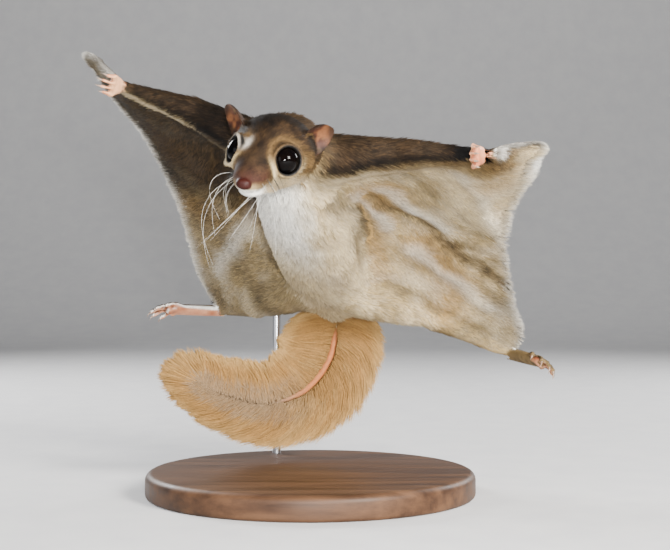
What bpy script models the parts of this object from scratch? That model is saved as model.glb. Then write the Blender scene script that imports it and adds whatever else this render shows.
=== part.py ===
"""Southern flying squirrel in a glide, life size, on a small display stand."""
import math
import random

import bmesh
import bpy
from mathutils import Vector

# Units and fits, in millimetres
MM = 0.001
GAP = 0.3
SHARP_ANGLE = math.radians(40)
PROBE = 0.01

# Pose of the body and of the head
CHEST_POINT = Vector((-5.9, -23.7, 107.1))
BODY_FORWARD = Vector((-0.175, -0.743, 0.646))
BODY_LEFT = Vector((0.910, -0.372, -0.182))
NAPE_POINT = Vector((-7.4, -38.4, 111.1))
HEAD_FORWARD = Vector((-0.268, -0.930, -0.250))
HEAD_LEFT = Vector((0.952, -0.216, -0.217))

# Bone lengths and spacing
SHOULDER_HALF = 12.0
HIP_HALF = 9.0
HIP_BACK = 62.0
HUMERUS = 27.0
RADIUS_BONE = 33.0
FEMUR = 31.0
TIBIA = 36.0
HAND_LENGTH = 12.0
FOOT_LENGTH = 32.0
SPUR_LENGTH = 24.0
ELBOW_LIFT = {"left": 3.4, "right": 4.6}
KNEE_DROP = {"left": -2.6, "right": 4.4}
ROOT_DEPTH = 4.0

# Limb directions in the body frame: forward, outward, dorsal
ARM_REACH = {"left": (14.3, 53.7, 2.9), "right": (10.8, 53.5, 11.4)}
LEG_REACH = {"left": (-33.2, 51.0, 12.8), "right": (-39.6, 46.8, 8.9)}
SPUR_REACH = {"left": (-12.0, 9.7, 17.9), "right": (-0.8, 20.2, 13.1)}
HAND_REACH = {"left": (7.8, -3.0, -9.9), "right": (8.9, -0.7, -9.4)}
FOOT_REACH = {"left": (17.3, 20.6, -12.9), "right": (12.4, 21.9, -14.8)}
SIDES = {"left": 1.0, "right": -1.0}

# Torso sections: distance behind the shoulders, half width, back, belly
TORSO = (
    (0.0, 12.5, 10.5, 11.5),
    (10.0, 15.0, 11.0, 13.0),
    (22.0, 17.0, 10.5, 13.0),
    (36.0, 17.5, 10.0, 11.8),
    (50.0, 16.5, 10.0, 10.2),
    (61.0, 14.5, 9.5, 8.4),
    (70.0, 10.5, 8.0, 6.2),
    (76.0, 6.5, 5.5, 4.5),
    (79.0, 3.0, 2.8, 2.6),
)
CHEST_END = 25.0
BELLY_END = 50.0
TORSO_STEP = 4.2
TRUNK_SIDES = 24
TRUNK_SQUARE = 1.95
NECK_SWELL = 0.14

# Head sections: distance before the nape, half width, crown, throat
HEAD = (
    (2.0, 11.0, 9.8, 10.2),
    (6.0, 12.4, 11.0, 11.0),
    (11.0, 12.6, 11.0, 11.6),
    (15.5, 10.9, 10.2, 11.4),
    (19.5, 8.7, 8.4, 10.8),
    (23.5, 6.8, 5.4, 9.9),
    (27.5, 5.6, 1.9, 9.1),
    (31.0, 4.8, -0.6, 8.7),
    (33.2, 3.8, -2.0, 8.3),
    (34.2, 2.8, -3.1, 7.7),
)
HEAD_STEP = 1.8
NECK_STEPS = 5

# Eyes, lids, ears, nose and mouth, in the head frame
EYE_CENTRE = Vector((20.2, 6.6, 0.2))
EYE_FACING = Vector((0.66, 0.72, 0.20))
EYE_RADIUS = 4.1
LID_DEPTH = 1.2
LID_RADIUS = 4.95
LID_ROLL = 1.25
JAW = (
    (12.0, 6.6, 2.4), (18.0, 5.8, 2.4), (24.0, 4.5, 2.2),
    (28.5, 3.4, 1.8), (30.8, 2.2, 1.2), (31.6, 0.8, 0.5),
)
JAW_STEP = 1.8
MOUTH_PATH = ((24.0, 6.6, -6.4), (27.0, 5.3, -7.4), (30.0, 4.2, -8.1), (32.6, 2.6, -8.4), (33.4, 0.0, -8.3))
MOUTH_RADIUS = 0.34
JAW_HEIGHT = -8.7
EAR_ROOT = Vector((11.6, 9.0, 3.2))
EAR_AXIS = {"left": Vector((-0.76, 0.58, 0.32)), "right": Vector((-0.42, 0.80, 0.38))}
EAR_FACING = {"left": Vector((0.62, 0.75, -0.05)), "right": Vector((0.46, 0.88, -0.05))}
EAR_LENGTH = 13.0
EAR_HALF_WIDTH = 4.8
EAR_CUP = 2.6
EAR_WALL = 0.9
NOSE_CENTRE = Vector((34.3, 0.0, -5.4))
NOSE_HALF_WIDTH = 2.3
NOSE_HALF_HEIGHT = 1.75
NOSE_LENGTH = 1.9
NOSE_SHAPE = ((0.0, 0.88), (0.35, 1.0), (0.7, 0.86), (0.92, 0.6), (1.0, 0.36))
NOSTRIL_RADIUS = 0.42
NOSTRIL_APART = 1.25

# Arm and leg sections: share of the way, half chord, half thickness
UPPER_ARM = ((0.0, 9.5, 10.4), (0.35, 8.8, 8.4), (0.7, 7.6, 7.0), (1.0, 6.6, 5.8))
FOREARM = ((0.0, 6.6, 5.8), (0.3, 5.4, 4.6), (0.7, 4.0, 3.2), (0.93, 3.2, 2.7), (1.0, 2.2, 1.9))
THIGH = ((0.0, 9.0, 7.5), (0.4, 8.4, 7.4), (0.75, 7.0, 6.0), (1.0, 5.6, 4.6))
SHANK = ((0.0, 5.6, 4.6), (0.4, 4.2, 3.4), (0.75, 3.3, 2.8), (0.94, 2.8, 2.5), (1.0, 2.0, 1.8))
SPUR = ((0.0, 2.6, 2.4), (0.3, 3.4, 2.7), (0.7, 3.3, 2.6), (0.92, 2.6, 2.1), (1.0, 1.4, 1.1))
LIMB_RINGS = 8
LIMB_SIDES = 14

# Paws; the palm rows are share of the way, half width and half thickness
HAND_HALF = 3.3
FOOT_HALF = 3.5
FINGER_LENGTH = 6.4
TOE_LENGTH = 9.4
FINGER_SPREAD = 0.42
TOE_SPREAD = 0.36
FINGER_BOW = ((0.0, 0.0), (0.35, -0.05), (0.68, 0.08), (0.9, 0.34), (0.96, 0.44))
TOE_BOW = ((0.0, 0.0), (0.35, -0.08), (0.7, -0.03), (0.95, 0.1), (1.02, 0.12))
TOE_GIRTH = (1.0, 0.95, 0.9, 1.0, 0.5)
PALM = ((0.0, 0.72, 0.62), (0.3, 0.8, 0.58), (0.65, 0.95, 0.5), (0.9, 1.0, 0.42), (1.0, 0.8, 0.3))

# Gliding membrane
MEMBRANE_STEPS = 14
MEMBRANE_THICK = 2.3
MEMBRANE_EDGE = 1.2
BILLOW = 8.0
FOLD_HEIGHT = 0.7
FOLD_COUNT = 3.4
EDGE_PULL = ((0.0, 0.0), (0.12, 1.2), (0.27, 6.4), (0.5, 6.6), (0.72, 2.0), (0.88, -2.4), (1.0, -0.8))

# Tail blade: path, then share of the way, half width, half thickness
TAIL_PATH = (
    (9.0, 31.0, 63.5), (8.4, 36.5, 53.2), (5.6, 34.0, 41.4), (-3.2, 27.0, 31.5),
    (-15.8, 19.0, 28.4), (-28.0, 12.0, 31.6), (-37.2, 7.0, 36.4), (-43.6, 4.0, 40.2),
)
TAIL_FACING = Vector((0.0, -1.0, -0.15))
TAIL_WIDTH = (
    (0.0, 6.0, 4.5), (0.09, 15.0, 4.4), (0.18, 18.6, 4.0), (0.35, 19.8, 3.6), (0.55, 17.2, 3.2),
    (0.75, 13.4, 2.8), (0.88, 11.0, 2.4), (0.96, 7.6, 1.8), (1.0, 3.4, 1.0),
)
TAIL_RINGS = 22
TAIL_SIDES = 12
CORE_SHARE = 0.5
EDGE_LOCKS = {"left": 13, "right": 18}
LOCK_SWEEP = 0.19
LOCK_SHAPE = ((0.0, 1.8, 1.7), (0.35, 3.5, 1.5), (0.72, 2.7, 0.9), (1.0, 0.3, 0.2))
LOCK_STEPS = 4
MID_LOCKS = 5
TIP_REACH = 0.88
TAIL_SPLITS = (0.36, 0.68)
TAIL_CUT = (21.0, 14.0)

# Stand
BASE_RADIUS = 54.0
BASE_HEIGHT = 8.0
BASE_BEVEL = 1.2
BASE_SIDES = 44
ROD_PLACE = (-13.0, 43.0)
ROD_RADIUS = 1.5
ROD_TOP = 66.0
ROD_SIDES = 16

BODY_UP = BODY_FORWARD.cross(BODY_LEFT).normalized()
SHOULDER_SHIFT = BODY_UP * 2.0 + BODY_FORWARD * 1.5
HEAD_UP = HEAD_FORWARD.cross(HEAD_LEFT).normalized()


def clear_scene():
    """Remove every object that is already in the file."""
    for item in list(bpy.data.objects):
        bpy.data.objects.remove(item, do_unlink=True)


def material(name, colour, roughness, metallic=0.0):
    """Make one plain material."""
    made = bpy.data.materials.new(name)
    made.use_nodes = True
    shader = made.node_tree.nodes["Principled BSDF"]
    shader.inputs["Base Color"].default_value = (*colour, 1.0)
    shader.inputs["Roughness"].default_value = roughness
    shader.inputs["Metallic"].default_value = metallic
    return made


def table(rows, place):
    """Read a smooth curve through the rows of a small table."""
    last = len(rows) - 1
    place = min(max(place, rows[0][0]), rows[last][0])
    spot = 0
    while spot < last - 1 and place > rows[spot + 1][0]:
        spot += 1
    before, here = rows[max(spot - 1, 0)], rows[spot]
    there, after = rows[spot + 1], rows[min(spot + 2, last)]
    span = there[0] - here[0]
    t = (place - here[0]) / span
    values = []
    for k in range(1, len(here)):
        start = (there[k] - before[k]) / max(there[0] - before[0], 1e-9) * span
        end = (after[k] - here[k]) / max(after[0] - here[0], 1e-9) * span
        values.append(
            here[k] * (2 * t ** 3 - 3 * t ** 2 + 1) + start * (t ** 3 - 2 * t ** 2 + t)
            + there[k] * (3 * t ** 2 - 2 * t ** 3) + end * (t ** 3 - t ** 2)
        )
    return values


def along(points, share):
    """Place on a smooth path through the points, by share of its point count."""
    rows = [(k / (len(points) - 1), *p) for k, p in enumerate(points)]
    return Vector(table(rows, share))


def in_body(forward, outward, dorsal, side=1.0):
    """Vector of the body frame turned into the world."""
    return BODY_FORWARD * forward + BODY_LEFT * (outward * side) + BODY_UP * dorsal


def on_head(place, side=1.0):
    """Point of the head frame turned into the world."""
    return NAPE_POINT + turned(place, side)


def turned(direction, side=1.0):
    """Direction of the head frame turned into the world."""
    forward = HEAD_FORWARD * direction[0]
    return forward + HEAD_LEFT * (direction[1] * side) + HEAD_UP * direction[2]


def section(centre, across, top, half, up, down, sides, square=2.0):
    """One closed section with its own height above and below the centre."""
    points = []
    for k in range(sides):
        angle = 2 * math.pi * k / sides
        cos, sin = math.cos(angle), math.sin(angle)
        x = math.copysign(abs(cos) ** (2 / square), cos) * half
        y = math.copysign(abs(sin) ** (2 / square), sin) * (up if sin > 0 else down)
        points.append(centre + across * x + top * y)
    return points


def mesh_object(name, points, faces):
    """Closed mesh object from points in millimetres."""
    mesh = bpy.data.meshes.new(name)
    mesh.from_pydata([p * MM for p in points], [], faces)
    build = bmesh.new()
    build.from_mesh(mesh)
    bmesh.ops.recalc_face_normals(build, faces=build.faces)
    build.to_mesh(mesh)
    build.free()
    made = bpy.data.objects.new(name, mesh)
    bpy.context.scene.collection.objects.link(made)
    return made


def loft(name, rings):
    """Closed skin over a row of sections with flat ends."""
    sides = len(rings[0])
    points = [p for ring in rings for p in ring]
    faces = []
    for row in range(len(rings) - 1):
        for k in range(sides):
            a, b = row * sides + k, row * sides + (k + 1) % sides
            faces.append((a, b, b + sides, a + sides))
    faces.append(tuple(reversed(range(sides))))
    faces.append(tuple(range(len(points) - sides, len(points))))
    return mesh_object(name, points, faces)


def baked(body):
    """Apply the modifiers of an object."""
    graph = bpy.context.evaluated_depsgraph_get()
    mesh = bpy.data.meshes.new_from_object(body.evaluated_get(graph))
    body.modifiers.clear()
    body.data = mesh
    return body


def combine(body, tools, operation, spot=None, solver="EXACT"):
    """Boolean of a body with a list of tools, which are then removed."""
    for tool in tools:
        step = body.modifiers.new("combine", "BOOLEAN")
        step.operation = operation
        step.solver = solver
        step.object = tool
        baked(body)
    for tool in set(tools):
        bpy.data.objects.remove(tool, do_unlink=True)
    return largest(body, spot)


def largest(body, spot=None):
    """Keep the one closed surface with the greatest volume, or the great one nearest to a point."""
    build = bmesh.new()
    build.from_mesh(body.data)
    left = set(build.faces)
    groups = []
    while left:
        stack, group = [left.pop()], []
        while stack:
            face = stack.pop()
            group.append(face)
            for edge in face.edges:
                for near in edge.link_faces:
                    if near in left:
                        left.remove(near)
                        stack.append(near)
        groups.append(group)
    groups.sort(key=group_volume)
    if spot is not None:
        floor = group_volume(groups[-1]) * 0.1
        groups.sort(key=lambda group: (group_volume(group) > floor, -nearest(group, spot)))
    spare = [face for group in groups[:-1] for face in group]
    bmesh.ops.delete(build, geom=spare, context="FACES")
    bmesh.ops.recalc_face_normals(build, faces=build.faces)
    build.to_mesh(body.data)
    build.free()
    return body


def nearest(group, point):
    """Distance from a point to the middle of a group of faces."""
    total = sum((face.calc_center_median() for face in group), Vector())
    return (total / len(group) - point).length


def group_volume(group):
    """Volume inside a group of faces."""
    total = 0.0
    for face in group:
        first = face.verts[0].co
        for a, b in zip(face.verts[1:], face.verts[2:]):
            total += first.dot(a.co.cross(b.co))
    return abs(total)


def finish(body, look, smooth=True):
    """Give a finished node its material and shading."""
    body.data.materials.clear()
    body.data.materials.append(look)
    for face in body.data.polygons:
        face.use_smooth = smooth
    body.data.set_sharp_from_angle(angle=SHARP_ANGLE)
    return body


def steps(start, end, pace):
    """Even places from start to end at about the given pace."""
    count = max(2, round((end - start) / pace))
    return [start + (end - start) * k / count for k in range(count + 1)]


def torso_ring(back, grow):
    """Torso section at a distance behind the shoulders."""
    half, up, down = table(TORSO, back)
    centre = CHEST_POINT - BODY_FORWARD * back
    half, up, down = half + grow, up + grow, down + grow
    return section(centre, BODY_LEFT, BODY_UP, half, up, down, TRUNK_SIDES, TRUNK_SQUARE)


def torso_rings(start, end, grow=0.0):
    """Sections of a length of the torso."""
    return [torso_ring(s, grow) for s in steps(start, end, TORSO_STEP)]


def head_rings(grow=0.0):
    """Sections of skull and muzzle from the nape forward."""
    rings = []
    for ahead in steps(HEAD[0][0], HEAD[-1][0] + grow, HEAD_STEP):
        half, up, down = table(HEAD, ahead)
        centre = on_head((ahead, 0.0, (up - down) / 2))
        half, tall = half + grow, (up + down) / 2 + grow
        rings.append(section(centre, HEAD_LEFT, HEAD_UP, half, tall, tall, TRUNK_SIDES, TRUNK_SQUARE))
    return rings


def neck_rings(grow=0.0):
    """Sections that turn from the line of the head into the line of the back."""
    half_a, up_a, down_a = table(HEAD, HEAD[0][0])
    half_b, up_b, down_b = table(TORSO, 0.0)
    start = on_head((HEAD[0][0], 0.0, 0.0))
    pull = (start - CHEST_POINT).length
    rings = []
    for k in range(NECK_STEPS + 1):
        t = GAP / pull + (1 - 2 * GAP / pull) * k / NECK_STEPS
        bend = t * t * (3 - 2 * t)
        centre = (
            start * (2 * t ** 3 - 3 * t ** 2 + 1) - HEAD_FORWARD * pull * (t ** 3 - 2 * t ** 2 + t)
            + CHEST_POINT * (3 * t ** 2 - 2 * t ** 3) - BODY_FORWARD * pull * (t ** 3 - t ** 2)
        )
        across = HEAD_LEFT.lerp(BODY_LEFT, bend).normalized()
        top = HEAD_UP.lerp(BODY_UP, bend).normalized()
        swell = 1 + NECK_SWELL * math.sin(math.pi * t)
        half = (half_a + (half_b - half_a) * bend) * swell + grow
        up = (up_a + (up_b - up_a) * bend) * swell + grow
        down = down_a + (down_b - down_a) * bend + grow
        rings.append(section(centre, across, top, half, up, down, TRUNK_SIDES, TRUNK_SQUARE))
    return rings


def trunk_room():
    """Head, neck and torso in one piece with the fit gap added."""
    rings = list(reversed(head_rings(GAP))) + neck_rings(GAP)
    return loft("trunk_room", rings + torso_rings(TORSO[0][0], TORSO[-1][0] + GAP, GAP))


def ball(name, centre, radius, rows=12, sides=18):
    """Round ball as a closed mesh."""
    build = bmesh.new()
    bmesh.ops.create_uvsphere(build, u_segments=sides, v_segments=rows, radius=radius * MM)
    mesh = bpy.data.meshes.new(name)
    bmesh.ops.translate(build, verts=build.verts, vec=centre * MM)
    build.to_mesh(mesh)
    build.free()
    made = bpy.data.objects.new(name, mesh)
    bpy.context.scene.collection.objects.link(made)
    return made


def tube(name, path, radii, facing, sides=8, flat=1.0):
    """Tapered tube along a path, flattened towards its facing."""
    rings = []
    for k, place in enumerate(path):
        ahead = path[min(k + 1, len(path) - 1)] - path[max(k - 1, 0)]
        across = facing.cross(ahead).normalized()
        top = ahead.cross(across).normalized()
        high = radii[k] * flat
        rings.append(section(place, across, top, radii[k], high, high, sides))
    return loft(name, rings)


def lid_ring(name, side):
    """Rolled lid round the eye, a little narrower above and below."""
    facing = turned(EYE_FACING, side).normalized()
    centre = on_head(EYE_CENTRE, side) + facing * LID_DEPTH
    across = HEAD_UP.cross(facing).normalized()
    top = facing.cross(across).normalized()
    rows, sides = 22, 6
    points, faces = [], []
    for k in range(rows):
        angle = 2 * math.pi * k / rows
        spoke = across * math.cos(angle) + top * math.sin(angle)
        reach = LID_RADIUS - 0.25 * math.sin(angle) ** 2
        for j in range(sides):
            turn = 2 * math.pi * j / sides
            roll = spoke * (reach + LID_ROLL * math.cos(turn)) + facing * (LID_ROLL * math.sin(turn))
            points.append(centre + roll)
    for k in range(rows):
        for j in range(sides):
            a, b = k * sides + j, k * sides + (j + 1) % sides
            c, d = (k + 1) % rows * sides + (j + 1) % sides, (k + 1) % rows * sides + j
            faces.append((a, b, c, d))
    return mesh_object(name, points, faces)


def jaw(name):
    """Lower jaw under the muzzle, narrower than the lips above it."""
    rings = []
    for ahead in steps(JAW[0][0], JAW[-1][0], JAW_STEP):
        half, tall = table(JAW, ahead)
        centre = on_head((ahead, 0.0, JAW_HEIGHT))
        rings.append(section(centre, HEAD_LEFT, HEAD_UP, half, tall, tall, 16))
    return loft(name, rings)


def mouth_cutter(name):
    """Thin groove of the mouth that runs back along both cheeks."""
    left = [on_head(p) for p in MOUTH_PATH]
    right = [on_head(p, -1.0) for p in reversed(MOUTH_PATH[:-1])]
    path = left + right
    corner = MOUTH_RADIUS * 0.65
    radii = [corner] + [MOUTH_RADIUS] * (len(path) - 2) + [corner]
    return tube(name, path, radii, HEAD_UP, 6)


def make_head(look):
    """Head with lids, sockets, jaw and mouth line."""
    head = loft("head", head_rings())
    lids = [lid_ring("lid", side) for side in SIDES.values()]
    combine(head, lids + [jaw("jaw")], "UNION", None, "MANIFOLD")
    cutters = [
        ball("socket", on_head(EYE_CENTRE, side), EYE_RADIUS + GAP) for side in SIDES.values()
    ]
    cutters.append(mouth_cutter("mouth"))
    combine(head, cutters, "DIFFERENCE", None, "MANIFOLD")
    return finish(head, look)


def make_nose(look):
    """Bare nose pad with two nostrils."""
    rings = []
    for share, swell in NOSE_SHAPE:
        centre = on_head(NOSE_CENTRE + Vector((share * NOSE_LENGTH, 0.0, 0.0)))
        half, tall = NOSE_HALF_WIDTH * swell, NOSE_HALF_HEIGHT * swell
        rings.append(section(centre, HEAD_LEFT, HEAD_UP, half, tall, tall * 0.9, 18, 2.3))
    pad = loft("nose", rings)
    holes = []
    for side in SIDES.values():
        spot = on_head(NOSE_CENTRE + Vector((NOSE_LENGTH * 0.8, NOSTRIL_APART * side, -0.1)))
        holes.append(ball("nostril", spot, NOSTRIL_RADIUS, 4, 6))
    return finish(combine(pad, holes, "DIFFERENCE"), look)


def make_ear(side_name, look):
    """Thin cupped ear laid back along the head."""
    side = SIDES[side_name]
    axis = turned(EAR_AXIS[side_name], side).normalized()
    facing = turned(EAR_FACING[side_name], side)
    facing = (facing - axis * facing.dot(axis)).normalized()
    across = axis.cross(facing).normalized() * side
    root = on_head(EAR_ROOT, side)
    rows, columns = 8, 8
    front, back = [], []
    for k in range(rows + 1):
        share = k / rows
        half = EAR_HALF_WIDTH * max(math.sin(math.pi * (0.22 + 0.76 * share)), 0.0) ** 0.6
        line = root + axis * (EAR_LENGTH * share) - facing * (2.2 * math.sin(math.pi * share * 0.6))
        for j in range(columns + 1):
            t = 2 * j / columns - 1
            cup = EAR_CUP * (half / EAR_HALF_WIDTH) ** 2 * (t * t - 0.5)
            place = line + across * (half * t) + facing * cup
            wall = EAR_WALL * (1 - 0.35 * abs(t))
            front.append(place + facing * (wall / 2))
            back.append(place - facing * (wall / 2))
    body = mesh_object("ear_" + side_name, front + back, sheet_faces(rows, columns))
    return finish(combine(body, [loft("head_room", head_rings(GAP))], "DIFFERENCE"), look)


def sheet_faces(rows, columns):
    """Faces of a thick sheet, split alike on both sides."""
    wide = columns + 1
    count = (rows + 1) * wide
    faces = []
    for k in range(rows):
        for j in range(columns):
            a, b, c, d = k * wide + j, k * wide + j + 1, (k + 1) * wide + j + 1, (k + 1) * wide + j
            faces += [(a, b, c), (a, c, d)]
            faces += [(a + count, c + count, b + count), (a + count, d + count, c + count)]
    rim = list(range(wide))
    rim += [k * wide + columns for k in range(1, rows + 1)]
    rim += [rows * wide + j for j in range(columns - 1, -1, -1)]
    rim += [k * wide for k in range(rows - 1, 0, -1)]
    for a, b in zip(rim, rim[1:] + rim[:1]):
        faces.append((a, a + count, b + count, b))
    return faces


def limb_line(start, end, first, second, bend):
    """Joint point between two bones, set off from the straight line."""
    return start + (end - start) * (first / (first + second)) + bend


def limb_points(side_name):
    """All joints of the limbs on one side."""
    side = SIDES[side_name]
    shoulder = CHEST_POINT + BODY_LEFT * (SHOULDER_HALF * side)
    hip = CHEST_POINT - BODY_FORWARD * HIP_BACK + BODY_LEFT * (HIP_HALF * side)
    wrist = shoulder + in_body(*ARM_REACH[side_name], side)
    ankle = hip + in_body(*LEG_REACH[side_name], side)
    return {
        "shoulder": shoulder,
        "elbow": limb_line(shoulder, wrist, HUMERUS, RADIUS_BONE, BODY_UP * ELBOW_LIFT[side_name]),
        "wrist": wrist,
        "tip": wrist + in_body(*SPUR_REACH[side_name], side).normalized() * SPUR_LENGTH,
        "hip": hip,
        "knee": limb_line(hip, ankle, FEMUR, TIBIA, BODY_UP * -KNEE_DROP[side_name]),
        "ankle": ankle,
    }


def bone(name, start, end, sizes, joint_ways, grow=0.0, shift=Vector()):
    """One length of a limb; its end sections lie square to the joint ways."""
    way = (end - start).normalized()
    rings = []
    for k in range(LIMB_RINGS):
        share = k / (LIMB_RINGS - 1)
        half, thick = table(sizes, share)
        normal = joint_ways[0].lerp(way, min(1.0, share * 3))
        if share > 0.67:
            normal = way.lerp(joint_ways[1], (share - 0.67) * 3)
        normal.normalize()
        chord = (BODY_FORWARD - normal * BODY_FORWARD.dot(normal)).normalized()
        top = normal.cross(chord).normalized()
        centre = start + (end - start) * share + shift * (1 - share)
        if share == 0:
            centre = centre + normal * (GAP / 2 - grow)
        if share == 1:
            centre = centre - normal * (GAP / 2 - grow)
        rings.append(section(centre, chord, top, half + grow, thick + grow, thick + grow, LIMB_SIDES))
    return loft(name, rings)


def limb_shapes(side_name, grow=0.0):
    """Functions that make each length of both limbs on one side."""
    p = limb_points(side_name)
    arm_in = (p["elbow"] - p["shoulder"]).normalized()
    arm_out = (p["wrist"] - p["elbow"]).normalized()
    leg_in = (p["knee"] - p["hip"]).normalized()
    leg_out = (p["ankle"] - p["knee"]).normalized()
    spur_way = (p["tip"] - p["wrist"]).normalized()
    elbow_way, knee_way = (arm_in + arm_out).normalized(), (leg_in + leg_out).normalized()
    inner = BODY_LEFT * (-ROOT_DEPTH * SIDES[side_name])
    return {
        "upper_arm": lambda n: bone(
            n, p["shoulder"] + inner, p["elbow"], UPPER_ARM, (arm_in, elbow_way), grow, SHOULDER_SHIFT),
        "forearm": lambda n: bone(n, p["elbow"], p["wrist"], FOREARM, (elbow_way, arm_out), grow),
        "wing_tip": lambda n: bone(n, p["wrist"], p["tip"], SPUR, (spur_way, spur_way), grow),
        "thigh": lambda n: bone(n, p["hip"] + inner, p["knee"], THIGH, (leg_in, knee_way), grow),
        "shank": lambda n: bone(n, p["knee"], p["ankle"], SHANK, (knee_way, leg_out), grow),
    }


def palm_shape(name, root, way, palm, length, half, grow=0.0):
    """Palm or sole without its toes."""
    across = palm.cross(way).normalized()
    rings = []
    for share, wide, thick in PALM:
        wide, thick = half * wide + grow, half * thick + grow
        centre = root + way * (length * share + grow * (2 * share - 1))
        rings.append(section(centre, across, palm, wide, thick, thick, 12))
    return loft(name, rings)


def digits(name, root, way, palm, length, half, count, toe_length, spread, curl):
    """Palm or sole with toes and claws fused to it."""
    across = palm.cross(way).normalized()
    palm_length = length - toe_length
    body = palm_shape(name, root, way, palm, palm_length, half)
    toes = []
    for k in range(count):
        t = 2 * k / (count - 1) - 1
        angle = spread * t
        aim = (way * math.cos(angle) + across * math.sin(angle)).normalized()
        start = root + way * (palm_length * (0.86 - 0.1 * t * t)) + across * (half * 0.72 * t)
        reach = toe_length * (1.0 - 0.22 * abs(t) ** 1.5)
        thick = half * 0.25
        path = [start + aim * (reach * s) - palm * (bow * reach) for s, bow in curl]
        toes.append(tube("toe", path, [thick * girth for girth in TOE_GIRTH], palm, 5))
        tip = path[-2]
        ahead = (path[-1] - path[-3]).normalized()
        claw = [tip, tip + ahead * (0.14 * reach) - palm * (0.03 * reach),
                tip + ahead * (0.24 * reach) - palm * (0.12 * reach)]
        toes.append(tube("claw", claw, [thick * 0.55, thick * 0.42, thick * 0.12], palm, 5, 1.3))
    return combine(body, toes, "UNION")


def hand_lie(side_name):
    """Root, direction and palm facing of a hand that reaches forward and down."""
    p = limb_points(side_name)
    way = in_body(*HAND_REACH[side_name], SIDES[side_name]).normalized()
    arm = (p["wrist"] - p["elbow"]).normalized()
    palm = (way * arm.dot(way) - arm).normalized()
    return p["wrist"] - arm * 1.6 + way * 0.4, way, palm


def foot_lie(side_name):
    """Root, direction and upper side of a hind foot."""
    p = limb_points(side_name)
    way = in_body(*FOOT_REACH[side_name], SIDES[side_name]).normalized()
    upper = (BODY_UP - way * BODY_UP.dot(way)).normalized()
    return p["ankle"] - way * 1.5, way, upper


def make_paws(side_name, look):
    """Hand with four fingers and long hind foot with five toes."""
    room = limb_shapes(side_name, GAP)
    hand = digits(
        "hand_" + side_name, *hand_lie(side_name), HAND_LENGTH, HAND_HALF, 4,
        FINGER_LENGTH, FINGER_SPREAD, FINGER_BOW)
    finish(combine(hand, [room["forearm"]("a"), room["wing_tip"]("b")], "DIFFERENCE"), look)
    foot = digits(
        "foot_" + side_name, *foot_lie(side_name), FOOT_LENGTH, FOOT_HALF, 5,
        TOE_LENGTH, TOE_SPREAD, TOE_BOW)
    finish(combine(foot, [room["shank"]("a")], "DIFFERENCE"), look)


def make_limbs(side_name, looks):
    """All lengths of the limbs of one side."""
    shapes = limb_shapes(side_name)
    room = limb_shapes(side_name, GAP)
    arm = combine(shapes["upper_arm"]("upper_arm_" + side_name), [trunk_room()], "DIFFERENCE")
    finish(arm, looks["back"])
    finish(shapes["forearm"]("forearm_" + side_name), looks["back"])
    tip = shapes["wing_tip"]("wing_tip_" + side_name)
    finish(combine(tip, [room["forearm"]("a")], "DIFFERENCE"), looks["back"])
    thigh = combine(shapes["thigh"]("thigh_" + side_name), [trunk_room()], "DIFFERENCE")
    finish(thigh, looks["belly"])
    finish(shapes["shank"]("shank_" + side_name), looks["belly"])
    make_paws(side_name, looks["paw"])


def membrane_place(p, side, u, v):
    """Middle of the membrane at a share outward and a share backward."""
    front = (p["shoulder"] - BODY_LEFT * (ROOT_DEPTH * side), p["elbow"], p["wrist"],
             p["tip"].lerp(p["wrist"], 0.12))
    hind = (p["hip"] - BODY_LEFT * (ROOT_DEPTH * side), p["knee"], p["ankle"])
    lead, trail = along(front, u), along(hind, u)
    inner = front[0].lerp(hind[0], v)
    pull = table(EDGE_PULL, v)[0]
    outer = front[-1].lerp(hind[-1], v) - BODY_LEFT * (pull * side)
    flat = front[0].lerp(front[-1], u).lerp(hind[0].lerp(hind[-1], u), v)
    place = lead.lerp(trail, v) + inner.lerp(outer, u) - flat
    rise = math.sin(math.pi * u) * math.sin(math.pi * v)
    fold = math.sin(2 * math.pi * (FOLD_COUNT * v + 0.6 * u + 0.25 * math.sin(4 * u)))
    return place + BODY_UP * (BILLOW * rise + FOLD_HEIGHT * fold * math.sqrt(max(rise, 0.0)))


def make_membrane(side_name, look):
    """Gliding membrane between arm, flank and leg."""
    side = SIDES[side_name]
    p = limb_points(side_name)
    count = MEMBRANE_STEPS
    upper, lower = [], []
    for k in range(count + 1):
        for j in range(count + 1):
            u, v = j / count, k / count
            place = membrane_place(p, side, u, v)
            out = membrane_place(p, side, min(u + PROBE, 1), v)
            out -= membrane_place(p, side, max(u - PROBE, 0), v)
            back = membrane_place(p, side, u, min(v + PROBE, 1))
            back -= membrane_place(p, side, u, max(v - PROBE, 0))
            normal = out.cross(back).normalized()
            thick = MEMBRANE_THICK + (MEMBRANE_EDGE - MEMBRANE_THICK) * u ** 4
            upper.append(place + normal * (thick / 2))
            lower.append(place - normal * (thick / 2))
    body = mesh_object("membrane_" + side_name, upper + lower, sheet_faces(count, count))
    room = limb_shapes(side_name, GAP)
    tools = [trunk_room()] + [room[k]("r_" + k) for k in room]
    tools.append(palm_shape("h", *hand_lie(side_name), HAND_LENGTH - FINGER_LENGTH, HAND_HALF, GAP))
    tools.append(palm_shape("f", *foot_lie(side_name), FOOT_LENGTH - TOE_LENGTH, FOOT_HALF, GAP))
    return finish(combine(body, tools, "DIFFERENCE"), look)


def tail_frame(share):
    """Centre, width direction and facing of the tail blade."""
    centre = along(TAIL_PATH, share)
    ahead = along(TAIL_PATH, min(share + PROBE, 1)) - along(TAIL_PATH, max(share - PROBE, 0))
    ahead.normalize()
    across = ahead.cross(TAIL_FACING).normalized()
    facing = across.cross(ahead).normalized()
    return centre, across, facing, ahead


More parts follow.
